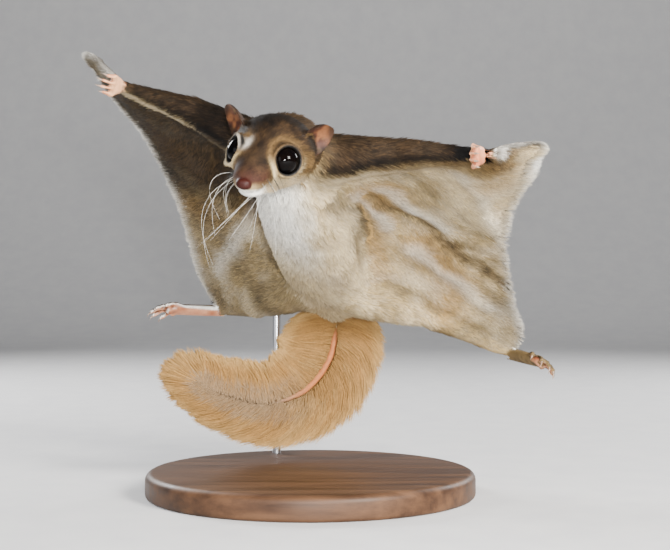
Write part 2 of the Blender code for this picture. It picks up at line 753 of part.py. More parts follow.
def tail_core():
    """Narrow core of the tail, from which the locks grow."""
    rings = []
    for k in range(TAIL_RINGS + 1):
        share = 0.97 * k / TAIL_RINGS
        centre, across, facing, ahead = tail_frame(share)
        half, thick = table(TAIL_WIDTH, share)
        half *= CORE_SHARE + (1 - CORE_SHARE) * max(0.0, 1 - share / 0.1)
        rings.append(section(centre, across, facing, half, thick * 0.85, thick * 0.85, TAIL_SIDES, 1.9))
    return loft("tail", rings)


def tail_lock(start, reach, side, layer, dice):
    """One flat lock that leaves the core and bends back along the tail."""
    path, widths, flats = [], [], []
    wave = dice.uniform(-0.5, 0.5)
    for k in range(LOCK_STEPS):
        t = k / (LOCK_STEPS - 1)
        share = min(start + LOCK_SWEEP * t ** 1.35, 1.06)
        centre, across, facing, ahead = tail_frame(min(share, 0.999))
        half, thick = table(TAIL_WIDTH, min(share, 1.0))
        half = max(half, 5.0) if reach < 0.6 else half
        out = side * half * (0.12 + (reach - 0.12) * t ** 0.85)
        lift = layer * thick * (0.62 - 0.35 * t) + wave * t
        overrun = ahead * max(0.0, share - 0.999) * 60
        path.append(centre + across * out + facing * lift + overrun)
        wide, flat = table(LOCK_SHAPE, t)
        size = (0.72 + 0.28 * half / 17) * dice.uniform(0.9, 1.12)
        widths.append(wide * size)
        flats.append(flat * size)
    facing = tail_frame(min(start + 0.5 * LOCK_SWEEP, 0.999))[2]
    tilt = tail_frame(start)[1] * (0.16 * layer * side + dice.uniform(-0.08, 0.08))
    rings = []
    for k, place in enumerate(path):
        ahead = path[min(k + 1, LOCK_STEPS - 1)] - path[max(k - 1, 0)]
        across = (facing + tilt).cross(ahead).normalized()
        top = ahead.cross(across).normalized()
        rings.append(section(place, across, top, widths[k], flats[k], flats[k], 4))
    return loft("lock", rings)


def tail_locks():
    """All locks: two overlapping layers along each edge, some on the faces and a fan at the tip."""
    dice = random.Random(7)
    locks = []
    for side_name, side in SIDES.items():
        for k in range(EDGE_LOCKS[side_name]):
            start = 0.035 + 0.86 * (k + 0.5) / EDGE_LOCKS[side_name]
            layer = 1 if (k + (side > 0)) % 2 else -1
            reach = dice.uniform(0.93, 1.03) * (1.0 if start < 0.75 else TIP_REACH)
            locks.append(tail_lock(start, reach, side, layer, dice))
    for k in range(MID_LOCKS):
        start = 0.08 + 0.8 * k / MID_LOCKS
        for layer in (1, -1):
            side = 1 if (k + (layer > 0)) % 2 else -1
            locks.append(tail_lock(start, dice.uniform(0.45, 0.6), side, layer * 1.25, dice))
    return locks


def slab(name, share):
    """Thin cut across the tail, one fit gap thick."""
    centre, across, facing, ahead = tail_frame(share)
    near, far = centre - ahead * (GAP / 2), centre + ahead * (GAP / 2)
    wide, tall = TAIL_CUT
    rings = []
    for middle in (near, far):
        rings.append([middle + across * (wide * x) + facing * (tall * y)
                      for x, y in ((-1, -1), (1, -1), (1, 1), (-1, 1))])
    return loft(name, rings)


def make_tail(look):
    """Tail of fused locks in three lengths."""
    whole = tail_core()
    locks = tail_locks()
    group = bpy.data.collections.new("locks")
    for lock in locks:
        bpy.context.scene.collection.objects.unlink(lock)
        group.objects.link(lock)
    join = whole.modifiers.new("join", "BOOLEAN")
    join.operation = "UNION"
    join.solver = "MANIFOLD"
    join.operand_type = "COLLECTION"
    join.collection = group
    baked(whole)
    for lock in locks:
        bpy.data.objects.remove(lock, do_unlink=True)
    bpy.data.collections.remove(group)
    largest(whole)
    room = [trunk_room()] + [limb_shapes(side_name, GAP)["thigh"]("t") for side_name in SIDES]
    combine(whole, room, "DIFFERENCE", None, "MANIFOLD")
    spans = (0.0,) + TAIL_SPLITS + (1.0,)
    for k, name in enumerate(("tail_base", "tail_middle", "tail_tip")):
        part = whole.copy()
        part.data = whole.data.copy()
        part.name = name
        bpy.context.scene.collection.objects.link(part)
        cuts = [slab("cut", share) for share in spans[k:k + 2] if 0 < share < 1]
        middle = tail_frame((spans[k] + spans[k + 1]) / 2)[0] * MM
        finish(combine(part, cuts, "DIFFERENCE", middle, "MANIFOLD"), look)
    bpy.data.objects.remove(whole, do_unlink=True)


def level_circle(centre, radius, sides):
    """Level circle round a centre."""
    across, ahead = Vector((1, 0, 0)), Vector((0, 1, 0))
    return section(Vector(centre), across, ahead, radius, radius, radius, sides)


def make_stand(looks):
    """Turned base and one slender rod."""
    rows = (
        (0.0, BASE_RADIUS - BASE_BEVEL),
        (BASE_BEVEL, BASE_RADIUS),
        (BASE_HEIGHT - 2 * BASE_BEVEL, BASE_RADIUS),
        (BASE_HEIGHT, BASE_RADIUS - 2 * BASE_BEVEL),
    )
    base = loft("stand_base", [level_circle((0, 0, height), radius, BASE_SIDES) for height, radius in rows])
    finish(base, looks["wood"], False)
    ends = [(*ROD_PLACE, height) for height in (BASE_HEIGHT + GAP, ROD_TOP)]
    rod = loft("stand_rod", [level_circle(end, ROD_RADIUS, ROD_SIDES) for end in ends])
    room = [trunk_room()] + [limb_shapes("right", GAP)["thigh"]("t")]
    finish(combine(rod, room, "DIFFERENCE"), looks["rod"])


def main():
    """Build every node."""
    clear_scene()
    looks = {
        "back": material("fur_back", (0.20, 0.155, 0.115), 0.85),
        "belly": material("fur_belly", (0.62, 0.54, 0.43), 0.85),
        "tail": material("fur_tail", (0.52, 0.37, 0.22), 0.85),
        "paw": material("bare_skin", (0.72, 0.40, 0.31), 0.55),
        "nose": material("nose_skin", (0.55, 0.24, 0.20), 0.45),
        "eye": material("eye_black", (0.008, 0.007, 0.008), 0.04),
        "wood": material("stand_wood", (0.10, 0.055, 0.03), 0.4),
        "rod": material("stand_steel", (0.45, 0.45, 0.46), 0.3, 1.0),
    }
    finish(loft("chest", torso_rings(TORSO[0][0], CHEST_END - GAP / 2)), looks["belly"])
    finish(loft("belly", torso_rings(CHEST_END + GAP / 2, BELLY_END - GAP / 2)), looks["belly"])
    finish(loft("rump", torso_rings(BELLY_END + GAP / 2, TORSO[-1][0])), looks["back"])
    finish(loft("neck", neck_rings()), looks["back"])
    make_head(looks["back"])
    make_nose(looks["nose"])
    for side_name, side in SIDES.items():
        finish(ball("eye_" + side_name, on_head(EYE_CENTRE, side), EYE_RADIUS), looks["eye"])
        make_ear(side_name, looks["paw"])
        make_limbs(side_name, looks)
        make_membrane(side_name, looks["belly"])
    make_tail(looks["tail"])
    make_stand(looks)


main()
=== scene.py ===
"""Southern flying squirrel in a glide: skin, coat, face, paws, tail and display stand."""
import itertools
import math

import bmesh
import bpy
import numpy as np
from bpy.props import FloatProperty, IntProperty, PointerProperty
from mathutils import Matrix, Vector, kdtree
from mathutils.bvhtree import BVHTree


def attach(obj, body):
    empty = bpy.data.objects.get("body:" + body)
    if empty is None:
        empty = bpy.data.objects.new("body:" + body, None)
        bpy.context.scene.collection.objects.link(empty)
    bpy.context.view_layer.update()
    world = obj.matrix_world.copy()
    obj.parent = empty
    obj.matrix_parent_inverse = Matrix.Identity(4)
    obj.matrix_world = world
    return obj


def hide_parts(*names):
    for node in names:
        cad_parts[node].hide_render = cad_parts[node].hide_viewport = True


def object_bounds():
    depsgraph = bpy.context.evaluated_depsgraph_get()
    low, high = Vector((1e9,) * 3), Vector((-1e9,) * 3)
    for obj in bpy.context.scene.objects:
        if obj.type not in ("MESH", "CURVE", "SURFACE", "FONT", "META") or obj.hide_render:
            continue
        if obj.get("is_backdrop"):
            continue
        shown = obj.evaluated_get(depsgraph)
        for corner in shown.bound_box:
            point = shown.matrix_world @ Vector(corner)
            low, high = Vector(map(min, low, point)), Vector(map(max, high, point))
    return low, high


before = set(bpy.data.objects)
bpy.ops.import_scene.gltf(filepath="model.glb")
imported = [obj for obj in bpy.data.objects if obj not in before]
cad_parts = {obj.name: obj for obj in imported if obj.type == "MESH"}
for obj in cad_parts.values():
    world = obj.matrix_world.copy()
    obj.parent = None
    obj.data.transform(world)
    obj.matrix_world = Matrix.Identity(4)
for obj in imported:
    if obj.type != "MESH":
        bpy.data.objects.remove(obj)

bl_info = {
    "name": "Flying squirrel model",
    "version": (1, 0, 0),
    "blender": (4, 5, 0),
    "location": "View3D > Sidebar > Squirrel",
    "description": "Builds a life-size flying squirrel in a glide over its packed frame",
    "category": "Object",
}

MM = 0.001
MERGE = 1e-6

# Pose of the body and of the head, in millimetres
CHEST_POINT = np.array((-5.9, -23.7, 107.1))
BODY_FORWARD = np.array((-0.175, -0.743, 0.646))
BODY_LEFT = np.array((0.910, -0.372, -0.182))
NAPE_POINT = np.array((-7.4, -38.4, 111.1))
HEAD_FORWARD = np.array((-0.268, -0.930, -0.250))
HEAD_LEFT = np.array((0.952, -0.216, -0.217))
BODY_UP = np.cross(BODY_FORWARD, BODY_LEFT)
BODY_UP /= np.linalg.norm(BODY_UP)
HEAD_UP = np.cross(HEAD_FORWARD, HEAD_LEFT)
HEAD_UP /= np.linalg.norm(HEAD_UP)
BODY_AXES = np.stack((BODY_FORWARD, BODY_LEFT, BODY_UP))
HEAD_AXES = np.stack((HEAD_FORWARD, HEAD_LEFT, HEAD_UP))

# Joints of the limbs in the body frame
SIDES = {"left": 1.0, "right": -1.0}
SHOULDER_HALF = 12.0
HIP_HALF = 9.0
HIP_BACK = 62.0
SPUR_LENGTH = 24.0
ELBOW_SHARE = 0.45
KNEE_SHARE = 0.463
ELBOW_LIFT = {"left": 3.4, "right": 4.6}
KNEE_DROP = {"left": -2.6, "right": 4.4}
ARM_REACH = {"left": (14.3, 53.7, 2.9), "right": (10.8, 53.5, 11.4)}
LEG_REACH = {"left": (-33.2, 51.0, 12.8), "right": (-39.6, 46.8, 8.9)}
SPUR_REACH = {"left": (-12.0, 9.7, 17.9), "right": (-0.8, 20.2, 13.1)}
HAND_REACH = {"left": (7.8, -3.0, -9.9), "right": (8.9, -0.7, -9.4)}
FOOT_REACH = {"left": (17.3, 20.6, -12.9), "right": (12.4, 21.9, -14.8)}
EDGE_PULL = ((0.0, 0.0), (0.12, 1.2), (0.27, 6.4), (0.5, 6.6), (0.72, 2.0), (0.88, -2.4), (1.0, -0.8))

# Face, in the head frame
EYE_CENTRE = np.array((20.2, 6.6, 0.2))
EYE_FACING = np.array((0.66, 0.72, 0.20))
EYE_RADIUS = 4.1
EAR_ROOT = np.array((11.6, 9.0, 3.2))
EAR_AXIS = {"left": np.array((-0.76, 0.58, 0.32)), "right": np.array((-0.42, 0.80, 0.38))}
EAR_FACING = {"left": np.array((0.62, 0.75, -0.05)), "right": np.array((0.46, 0.88, -0.05))}
EAR_LENGTH = 13.0
# Offset from the right elbow of a dark fur patch, deepened with painted shade
ARM_FUR_AND_SHADE_PATCH = np.array((9.0, -5.0, -5.0))
CROWN_SPOT = np.array((17.0, -1.5, 9.0))

# Paws
HAND_LENGTH = 12.0
FOOT_LENGTH = 32.0
HAND_HALF = 3.3
FOOT_HALF = 3.5
FINGER_LENGTH = 6.4
TOE_LENGTH = 9.4
FINGER_SPREAD = 0.42
TOE_SPREAD = 0.36
FINGER_BOW = ((0.0, 0.0), (0.35, -0.05), (0.68, 0.08), (0.9, 0.34), (0.96, 0.44))
TOE_BOW = ((0.0, 0.0), (0.35, -0.08), (0.7, -0.03), (0.95, 0.1), (1.02, 0.12))

# Tail blade
TAIL_PATH = (
    (9.0, 31.0, 63.5), (8.4, 36.5, 53.2), (5.6, 34.0, 41.4), (-3.2, 27.0, 31.5),
    (-15.8, 19.0, 28.4), (-28.0, 12.0, 31.6), (-37.2, 7.0, 36.4), (-43.6, 4.0, 40.2),
)
TAIL_FACING = np.array((0.0, -1.0, -0.15))
TAIL_WIDTH = (
    (0.0, 6.0, 4.5), (0.09, 15.0, 4.4), (0.18, 18.6, 4.0), (0.35, 19.8, 3.6), (0.55, 17.2, 3.2),
    (0.75, 13.4, 2.8), (0.88, 11.0, 2.4), (0.96, 7.6, 1.8), (1.0, 3.4, 1.0),
)

# Folds of the spread skin: places forward and left of the chest, height towards the ground, width
FOLDS = (
    (((-11.0, 11.0), (-22.0, 17.0), (-37.0, 17.0)), -1.3, 1.9),
    (((-15.0, 17.0), (-24.0, 21.5), (-34.0, 23.0)), 0.9, 2.2),
    (((-17.0, 20.0), (-28.0, 28.0), (-37.0, 38.0)), -1.2, 1.7),
    (((-13.0, 25.0), (-23.0, 32.0), (-34.0, 42.0)), 0.9, 2.6),
    (((-6.0, 34.0), (-20.0, 45.0), (-36.0, 54.0)), -0.7, 2.6),
    (((-38.0, 37.0), (-48.0, 47.0), (-60.0, 58.0)), -0.8, 2.2),
    (((-44.0, 30.0), (-56.0, 40.0), (-70.0, 52.0)), 0.8, 3.0),
    (((-60.0, 20.0), (-72.0, 34.0), (-86.0, 50.0)), -0.9, 2.0),
    (((2.0, 52.0), (-14.0, 57.0), (-38.0, 60.0)), 0.6, 2.6),
    (((-2.0, -30.0), (-24.0, -38.0), (-46.0, -50.0)), -0.9, 2.4),
    (((-30.0, -22.0), (-52.0, -34.0), (-74.0, -48.0)), 0.9, 3.0),
)

# Colours of the coat, as linear red, green and blue
GREY_BROWN = np.array((0.019, 0.0135, 0.0085))
CROWN_BROWN = np.array((0.0095, 0.0058, 0.0032))
TAWNY = np.array((0.068, 0.038, 0.0165))
CHARCOAL = np.array((0.003, 0.0026, 0.0024))
UMBER = np.array((0.008, 0.0045, 0.0026))
CREAM = np.array((0.54, 0.415, 0.215))
WHITE = np.array((0.90, 0.87, 0.79))
BUFF = np.array((0.135, 0.080, 0.029))
BEIGE = np.array((0.285, 0.20, 0.083))
OCHRE = np.array((0.33, 0.18, 0.042))
UNDER_GREY = np.array((0.088, 0.067, 0.040))
TAIL_TAN = np.array((0.15, 0.070, 0.0165))
TAIL_PALE = np.array((0.37, 0.23, 0.085))
TAIL_GREY = np.array((0.15, 0.105, 0.065))
PINK = np.array((0.36, 0.105, 0.040))
PINK_PALE = np.array((0.66, 0.33, 0.19))
PINK_DEEP = np.array((0.24, 0.055, 0.022))
EAR_PINK = np.array((0.115, 0.044, 0.017))
NOSE_PINK = np.array((0.022, 0.0045, 0.0028))
MAUVE = np.array((0.034, 0.011, 0.007))

FINE_NODES = ("head", "neck", "nose", "ear_left", "ear_right", "hand_left", "hand_right",
              "foot_left", "foot_right")
BODY_NODES = ("neck", "chest", "belly", "rump", "upper_arm_left", "upper_arm_right", "forearm_left",
              "forearm_right", "wing_tip_left", "wing_tip_right", "thigh_left", "thigh_right",
              "shank_left", "shank_right", "membrane_left", "membrane_right")
TAIL_NODES = ("tail_base", "tail_middle", "tail_tip")

# How the skin is made, in millimetres
GROW = 0.35
FINE_VOXEL = 0.40
COARSE_VOXEL = 1.04
COAT_DEPTH = {
    "head": 0.9, "neck": 1.6, "nose": 0.0, "ear": 0.0, "hand": 0.0, "foot": 0.0, "chest": 1.8, "belly": 1.8,
    "rump": 1.8, "upper_arm": 1.6, "forearm": 1.0, "wing_tip": 0.5, "thigh": 1.5, "shank": 0.6,
    "membrane": 0.35, "tail": -0.35,
}
COAT_LENGTH = {
    "head": 2.3, "neck": 3.6, "nose": 0.1, "ear": 0.8, "hand": 0.9, "foot": 0.9, "chest": 4.4, "belly": 4.2,
    "rump": 4.4, "upper_arm": 3.4, "forearm": 2.8, "wing_tip": 2.4, "thigh": 3.6, "shank": 2.0,
    "membrane": 3.0, "tail": 4.0,
}

CUFF = {"left": 17.0, "right": 7.0}
# Width of the white membrane edge on each side: white edge hair with a painted rim highlight
RIM_WIDTH = {"left": 1.9, "right": 2.6}
WHISKERS = 8
PADS = ((0.90, -0.62, 0.40), (0.96, -0.22, 0.42), (0.96, 0.22, 0.42), (0.90, 0.62, 0.40), (0.55, -0.4, 0.36))
CLAW_CURVE = ((0.0, 0.0), (0.07, 0.0), (0.14, 0.02), (0.20, 0.06), (0.25, 0.11), (0.28, 0.17))
TAIL_HAIRS = 9500
TIP_HAIRS = 0.14
TIP_START = 0.84
TIP_AHEAD = 16.5
TIP_ACROSS = 12.0
HAIR_PROFILE = ((-1.0, 0.0), (1.0, 0.0), (0.0, 0.45))
HAIR_SHINE = 0.95

made = {}


def unit(vectors):
    """Vectors scaled to length one along the last axis."""
    return vectors / np.maximum(np.linalg.norm(vectors, axis=-1, keepdims=True), 1e-9)


def smooth_step(low, high, values):
    """Smooth rise from nought at low to one at high."""
    t = np.clip((values - low) / (high - low), 0.0, 1.0)
    return t * t * (3 - 2 * t)


def bump(values, centre, width):
    """Bell curve round a centre."""
    return np.exp(-(((values - centre) / width) ** 2))


def mix(a, b, share):
    """Blend of two colours or vectors by a share for each row."""
    share = np.asarray(share)[..., None]
    return a * (1 - share) + b * share


def rows_at(rows, places):
    """Read the columns of a small table at many places."""
    rows = np.array(rows)
    return [np.interp(places, rows[:, 0], rows[:, k]) for k in range(1, rows.shape[1])]


def lattice(cells, seed):
    """Random number between nought and one for each whole-number cell."""
    cells = cells.astype(np.int64)
    mixed = cells[..., 0] * 73856093 ^ cells[..., 1] * 19349663 ^ cells[..., 2] * 83492791 ^ seed * 2654435
    mixed = (mixed ^ (mixed >> 13)) * 1274126177 & 0xFFFFFFFF
    mixed = (mixed ^ (mixed >> 16)) * 2246822519 & 0xFFFFFFFF
    return mixed / 0xFFFFFFFF


def noise(points, size, seed):
    """Smooth noise between minus one and one."""
    cell = points / size
    base = np.floor(cell)
    t = cell - base
    t = t * t * (3 - 2 * t)
    total = np.zeros(len(points))
    for corner in itertools.product((0, 1), repeat=3):
        weight = np.ones(len(points))
        for axis in range(3):
            weight = weight * (t[:, axis] if corner[axis] else 1 - t[:, axis])
        total += weight * lattice(base + np.array(corner), seed)
    return total * 2 - 1


def in_frame(points, origin, axes):
    """Points in millimetres turned into a local frame."""
    return (points - origin) @ axes.T


def from_head(place, side=1.0):
    """World place of a point of the head frame."""
    return NAPE_POINT + (np.asarray(place) * (1, side, 1)) @ HEAD_AXES


def joints(side_name):
    """Joints of both limbs on one side."""
    side = SIDES[side_name]
    flip = np.array((1, side, 1))
    shoulder = CHEST_POINT + BODY_LEFT * (SHOULDER_HALF * side)
    hip = CHEST_POINT - BODY_FORWARD * HIP_BACK + BODY_LEFT * (HIP_HALF * side)
    wrist = shoulder + (ARM_REACH[side_name] * flip) @ BODY_AXES
    ankle = hip + (LEG_REACH[side_name] * flip) @ BODY_AXES
    spur = unit((SPUR_REACH[side_name] * flip) @ BODY_AXES)
    return {
        "shoulder": shoulder,
        "elbow": shoulder + (wrist - shoulder) * ELBOW_SHARE + BODY_UP * ELBOW_LIFT[side_name],
        "wrist": wrist,
        "tip": wrist + spur * SPUR_LENGTH,
        "hip": hip,
        "knee": hip + (ankle - hip) * KNEE_SHARE - BODY_UP * KNEE_DROP[side_name],
        "ankle": ankle,
    }


def outer_edge(side_name):
    """Free outer edge of the membrane from wing tip to ankle."""
    p = joints(side_name)
    share = np.linspace(0, 1, 60)
    start = p["tip"] * 0.88 + p["wrist"] * 0.12
    pull = rows_at(EDGE_PULL, share)[0]
    return start + (p["ankle"] - start) * share[:, None] - BODY_LEFT * SIDES[side_name] * pull[:, None]


def clean_copy(name, grow):
    """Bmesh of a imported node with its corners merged, grown along its normals."""
    build = bmesh.new()
    build.from_mesh(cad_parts[name].data)
    bmesh.ops.remove_doubles(build, verts=build.verts, dist=MERGE)
    bmesh.ops.recalc_face_normals(build, faces=build.faces)
    build.normal_update()
    for vert in build.verts:
        vert.co += vert.normal * (grow * MM)
    return build


def new_object(name, mesh):
    """Link a new object that holds the mesh."""
    item = bpy.data.objects.new(name, mesh)
    bpy.context.scene.collection.objects.link(item)
    return item


def drop(item):
    """Remove a helper object and its mesh."""
    mesh = item.data
    bpy.data.objects.remove(item, do_unlink=True)
    bpy.data.meshes.remove(mesh)


def apply_modifiers(item):
    """Bake the modifiers of an object into its mesh."""
    graph = bpy.context.evaluated_depsgraph_get()
    mesh = bpy.data.meshes.new_from_object(item.evaluated_get(graph))
    old = item.data
    item.modifiers.clear()
    item.data = mesh
    bpy.data.meshes.remove(old)
    return item


def tail_frames(shares):
    """Centre, width direction, facing and heading of the tail at many shares."""
    path = np.array(TAIL_PATH)
    fine = np.linspace(0, 1, 241)
    spots = fine * (len(path) - 1)
    index = np.minimum(spots.astype(int), len(path) - 2)
    t = (spots - index)[:, None]
    p1, p2 = path[index], path[index + 1]
    p0 = path[np.maximum(index - 1, 0)]
    p3 = path[np.minimum(index + 2, len(path) - 1)]
    start = (p2 - p0) / np.where(index > 0, 2, 1)[:, None]
    end = (p3 - p1) / np.where(index < len(path) - 2, 2, 1)[:, None]
    line = p1 * (2 * t ** 3 - 3 * t ** 2 + 1) + start * (t ** 3 - 2 * t ** 2 + t)
    line = line + p2 * (3 * t ** 2 - 2 * t ** 3) + end * (t ** 3 - t ** 2)
    ahead = unit(np.gradient(line, axis=0))
    across = unit(np.cross(ahead, TAIL_FACING))
    facing = unit(np.cross(across, ahead))
    shares = np.asarray(shares)
    inside = np.clip(shares, 0, 1)
    parts = []
    for values in (line, across, facing, ahead):
        parts.append(np.stack([np.interp(inside, fine, values[:, k]) for k in range(3)], -1))
    parts[0] = parts[0] + parts[3] * ((shares - inside) * 60.0)[..., None]
    return parts


def tail_core():
    """Closed mesh of the tail's own flesh, which narrows to the tip."""
    build = bmesh.new()
    shares = np.linspace(-0.02, 0.93, 60)
    centre, across, facing, ahead = tail_frames(shares)
    half, thick = rows_at(TAIL_WIDTH, shares)
    half = half * (0.10 + 0.6 * np.clip(1 - shares / 0.12, 0, 1))
    rings = []
    for k in range(len(shares)):
        ring = []
        for j in range(20):
            angle = 2 * math.pi * j / 20
            place = centre[k] + across[k] * half[k] * math.cos(angle) + facing[k] * thick[k] * 0.42 * math.sin(angle)
            ring.append(build.verts.new(place * MM))
        rings.append(ring)
    for a, b in zip(rings, rings[1:]):
        for j in range(20):
            build.faces.new((a[j], a[(j + 1) % 20], b[(j + 1) % 20], b[j]))
    build.faces.new(rings[0][::-1])
    build.faces.new(rings[-1])
    bmesh.ops.recalc_face_normals(build, faces=build.faces)
    return build


def paw_pads():
    """Closed pads under the palms, soles and digits."""
    build = bmesh.new()
    for side_name in SIDES:
        for paw in paw_rows(side_name).values():
            across = np.cross(paw["upper"], paw["way"])
            palm = paw["length"] - paw["digit"]
            spots = []
            for rank in range(paw["count"]):
                line = digit_line(paw, rank)[0]
                spots += [(line[1], 0.30), (line[2], 0.31), (line[-2], 0.36)]
            for share, off, size in PADS:
                spot = paw["root"] + paw["way"] * (palm * share) + across * (paw["half"] * off)
                spots.append((spot - paw["upper"] * (paw["half"] * 0.22), size))
            for spot, size in spots:
                made_verts = bmesh.ops.create_icosphere(build, subdivisions=2, radius=paw["half"] * size * MM)["verts"]
                bmesh.ops.translate(build, verts=made_verts, vec=Vector(spot * MM))
    return build


def joined(builds, name):
    """One mesh object from several bmeshes."""
    whole = bmesh.new()
    for build in builds:
        mesh = bpy.data.meshes.new("part")
        build.to_mesh(mesh)
        build.free()
        whole.from_mesh(mesh)
        bpy.data.meshes.remove(mesh)
    mesh = bpy.data.meshes.new(name)
    whole.to_mesh(mesh)
    whole.free()
    return new_object(name, mesh)


def remeshed(item, size):
    """Even closed skin over all the bodies of an object."""
    step = item.modifiers.new("remesh", "REMESH")
    step.mode = "VOXEL"
    step.voxel_size = size * MM
    step.adaptivity = 0.0
    return apply_modifiers(item)


def mesh_arrays(mesh):
    """Vertex places in millimetres, triangles and edges of a mesh."""
    places = np.empty(len(mesh.vertices) * 3, np.float64)
    mesh.vertices.foreach_get("co", places)
    mesh.calc_loop_triangles()
    tris = np.empty(len(mesh.loop_triangles) * 3, np.int64)
    mesh.loop_triangles.foreach_get("vertices", tris)
    edges = np.empty(len(mesh.edges) * 2, np.int64)
    mesh.edges.foreach_get("vertices", edges)
    return places.reshape(-1, 3) / MM, tris.reshape(-1, 3), edges.reshape(-1, 2)


def vertex_normals(places, tris):
    """Smooth normals from the triangles."""
    a, b, c = places[tris[:, 0]], places[tris[:, 1]], places[tris[:, 2]]
    faces = np.cross(b - a, c - a)
    total = np.zeros_like(places)
    for corner in range(3):
        for axis in range(3):
            total[:, axis] += np.bincount(tris[:, corner], faces[:, axis], len(places))
    return unit(total)


def spread(values, edges, rounds, strength=0.5):
    """Average values over neighbouring vertices, round by round."""
    values = np.array(values, float)
    flat = values.reshape(len(values), -1)
    count = len(flat)
    degree = np.bincount(edges[:, 0], minlength=count) + np.bincount(edges[:, 1], minlength=count)
    degree = np.maximum(degree, 1)
    strength = np.broadcast_to(np.asarray(strength, float), (count,))
    for _ in range(rounds):
        for k in range(flat.shape[1]):
            total = np.bincount(edges[:, 0], flat[edges[:, 1], k], count)
            total += np.bincount(edges[:, 1], flat[edges[:, 0], k], count)
            flat[:, k] += (total / degree - flat[:, k]) * strength
    return flat.reshape(values.shape)


def nearest_nodes(places, names):
    """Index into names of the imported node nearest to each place."""
    corners, faces, owners = [], [], []
    for index, name in enumerate(names):
        build = tail_core() if name == "tail" else clean_copy(name, 0.0)
        bmesh.ops.triangulate(build, faces=build.faces)
        build.verts.index_update()
        first = len(corners)
        corners += [v.co / MM for v in build.verts]
        faces += [tuple(first + v.index for v in f.verts) for f in build.faces]
        owners += [index] * len(build.faces)
        build.free()
    tree = BVHTree.FromPolygons(corners, faces)
    owners = np.array(owners)
    hits = [tree.find_nearest(Vector(p))[2] for p in places]
    return owners[hits]


def flesh_field(item):
    """Everything that is known at each vertex of the skin."""
    mesh = item.data
    places, tris, edges = mesh_arrays(mesh)
    names = tuple(dict.fromkeys(FINE_NODES + BODY_NODES)) + ("tail",)
    owner = nearest_nodes(places, names)
    return {"places": places, "tris": tris, "edges": edges, "owner": owner, "names": names}


def of_node(field, *starts):
    """One where a vertex belongs to a node whose name starts as given."""
    picks = [k for k, name in enumerate(field["names"]) if name.startswith(starts)]
    return np.isin(field["owner"], picks).astype(float)


def folded(local):
    """Places of the head frame with both sides laid on the left one."""
    return local * (1, 0, 1) + np.abs(local) * (0, 1, 0)


def node_values(field, table, other=0.0):
    """Value at each vertex by the first table name that its node starts with."""
    values = np.full(len(field["names"]), other)
    for k, name in enumerate(field["names"]):
        for start, value in table.items():
            if name.startswith(start):
                values[k] = value
    return values[field["owner"]]


def inset_depth(field):
    """How far the skin lies below the tips of the coat."""
    depth = node_values(field, COAT_DEPTH)
    head = in_frame(field["places"], NAPE_POINT, HEAD_AXES)
    on_head = of_node(field, "head")
    muzzle = smooth_step(20.0, 31.0, head[:, 0])
    depth -= on_head * muzzle * (COAT_DEPTH["head"] - 0.25)
    eye = np.linalg.norm(folded(head) - EYE_CENTRE, axis=-1)
    near_eye = of_node(field, "head") * (1 - smooth_step(5.0, 6.4, eye))
    depth = depth * (1 - near_eye)
    depth = spread(depth, field["edges"], 8)
    return np.where(near_eye > 0.5, -0.22, depth)


def line_distance(spots, points):
    """Distance in a plane from each spot to a broken line."""
    best = np.full(len(spots), 1e9)
    for a, b in zip(np.array(points)[:-1], np.array(points)[1:]):
        way = b - a
        share = np.clip((spots - a) @ way / (way @ way), 0.0, 1.0)
        best = np.minimum(best, np.linalg.norm(spots - a - share[:, None] * way, axis=-1))
    return best


def fold_heights(places):
    """Height of the folds of the spread skin at each place."""
    body = in_frame(places, CHEST_POINT, BODY_AXES)
    body[:, :2] += 1.3 * np.stack((noise(places, 7.0, 61), noise(places, 7.0, 62)), -1)
    total = 0.30 * noise(places, 8.0, 63)
    for points, height, width in FOLDS:
        total += height * np.exp(-((line_distance(body[:, :2], points) / width) ** 2))
    return total


def make_skin_mesh():
    """Closed skin in two finenesses, grown a little over the nodes and joined."""
    fine = joined([clean_copy(name, GROW) for name in FINE_NODES] + [paw_pads()], "fine")
    remeshed(fine, FINE_VOXEL)
    coarse = [clean_copy(name, GROW - 0.4 * (name in FINE_NODES)) for name in BODY_NODES]
    skin = joined(coarse + [tail_core()], "squirrel_skin")
    remeshed(skin, COARSE_VOXEL)
    join = skin.modifiers.new("join", "BOOLEAN")
    join.operation = "UNION"
    join.solver = "MANIFOLD"
    join.object = fine
    apply_modifiers(skin)
    drop(fine)
    return skin


def hind_edge(side_name):
    """Free hind edge of the membrane from ankle to rump."""
    share = np.linspace(0, 1, 40)[:, None]
    rump = CHEST_POINT - BODY_FORWARD * (HIP_BACK + 6.0)
    return rump + (joints(side_name)["ankle"] - rump) * share


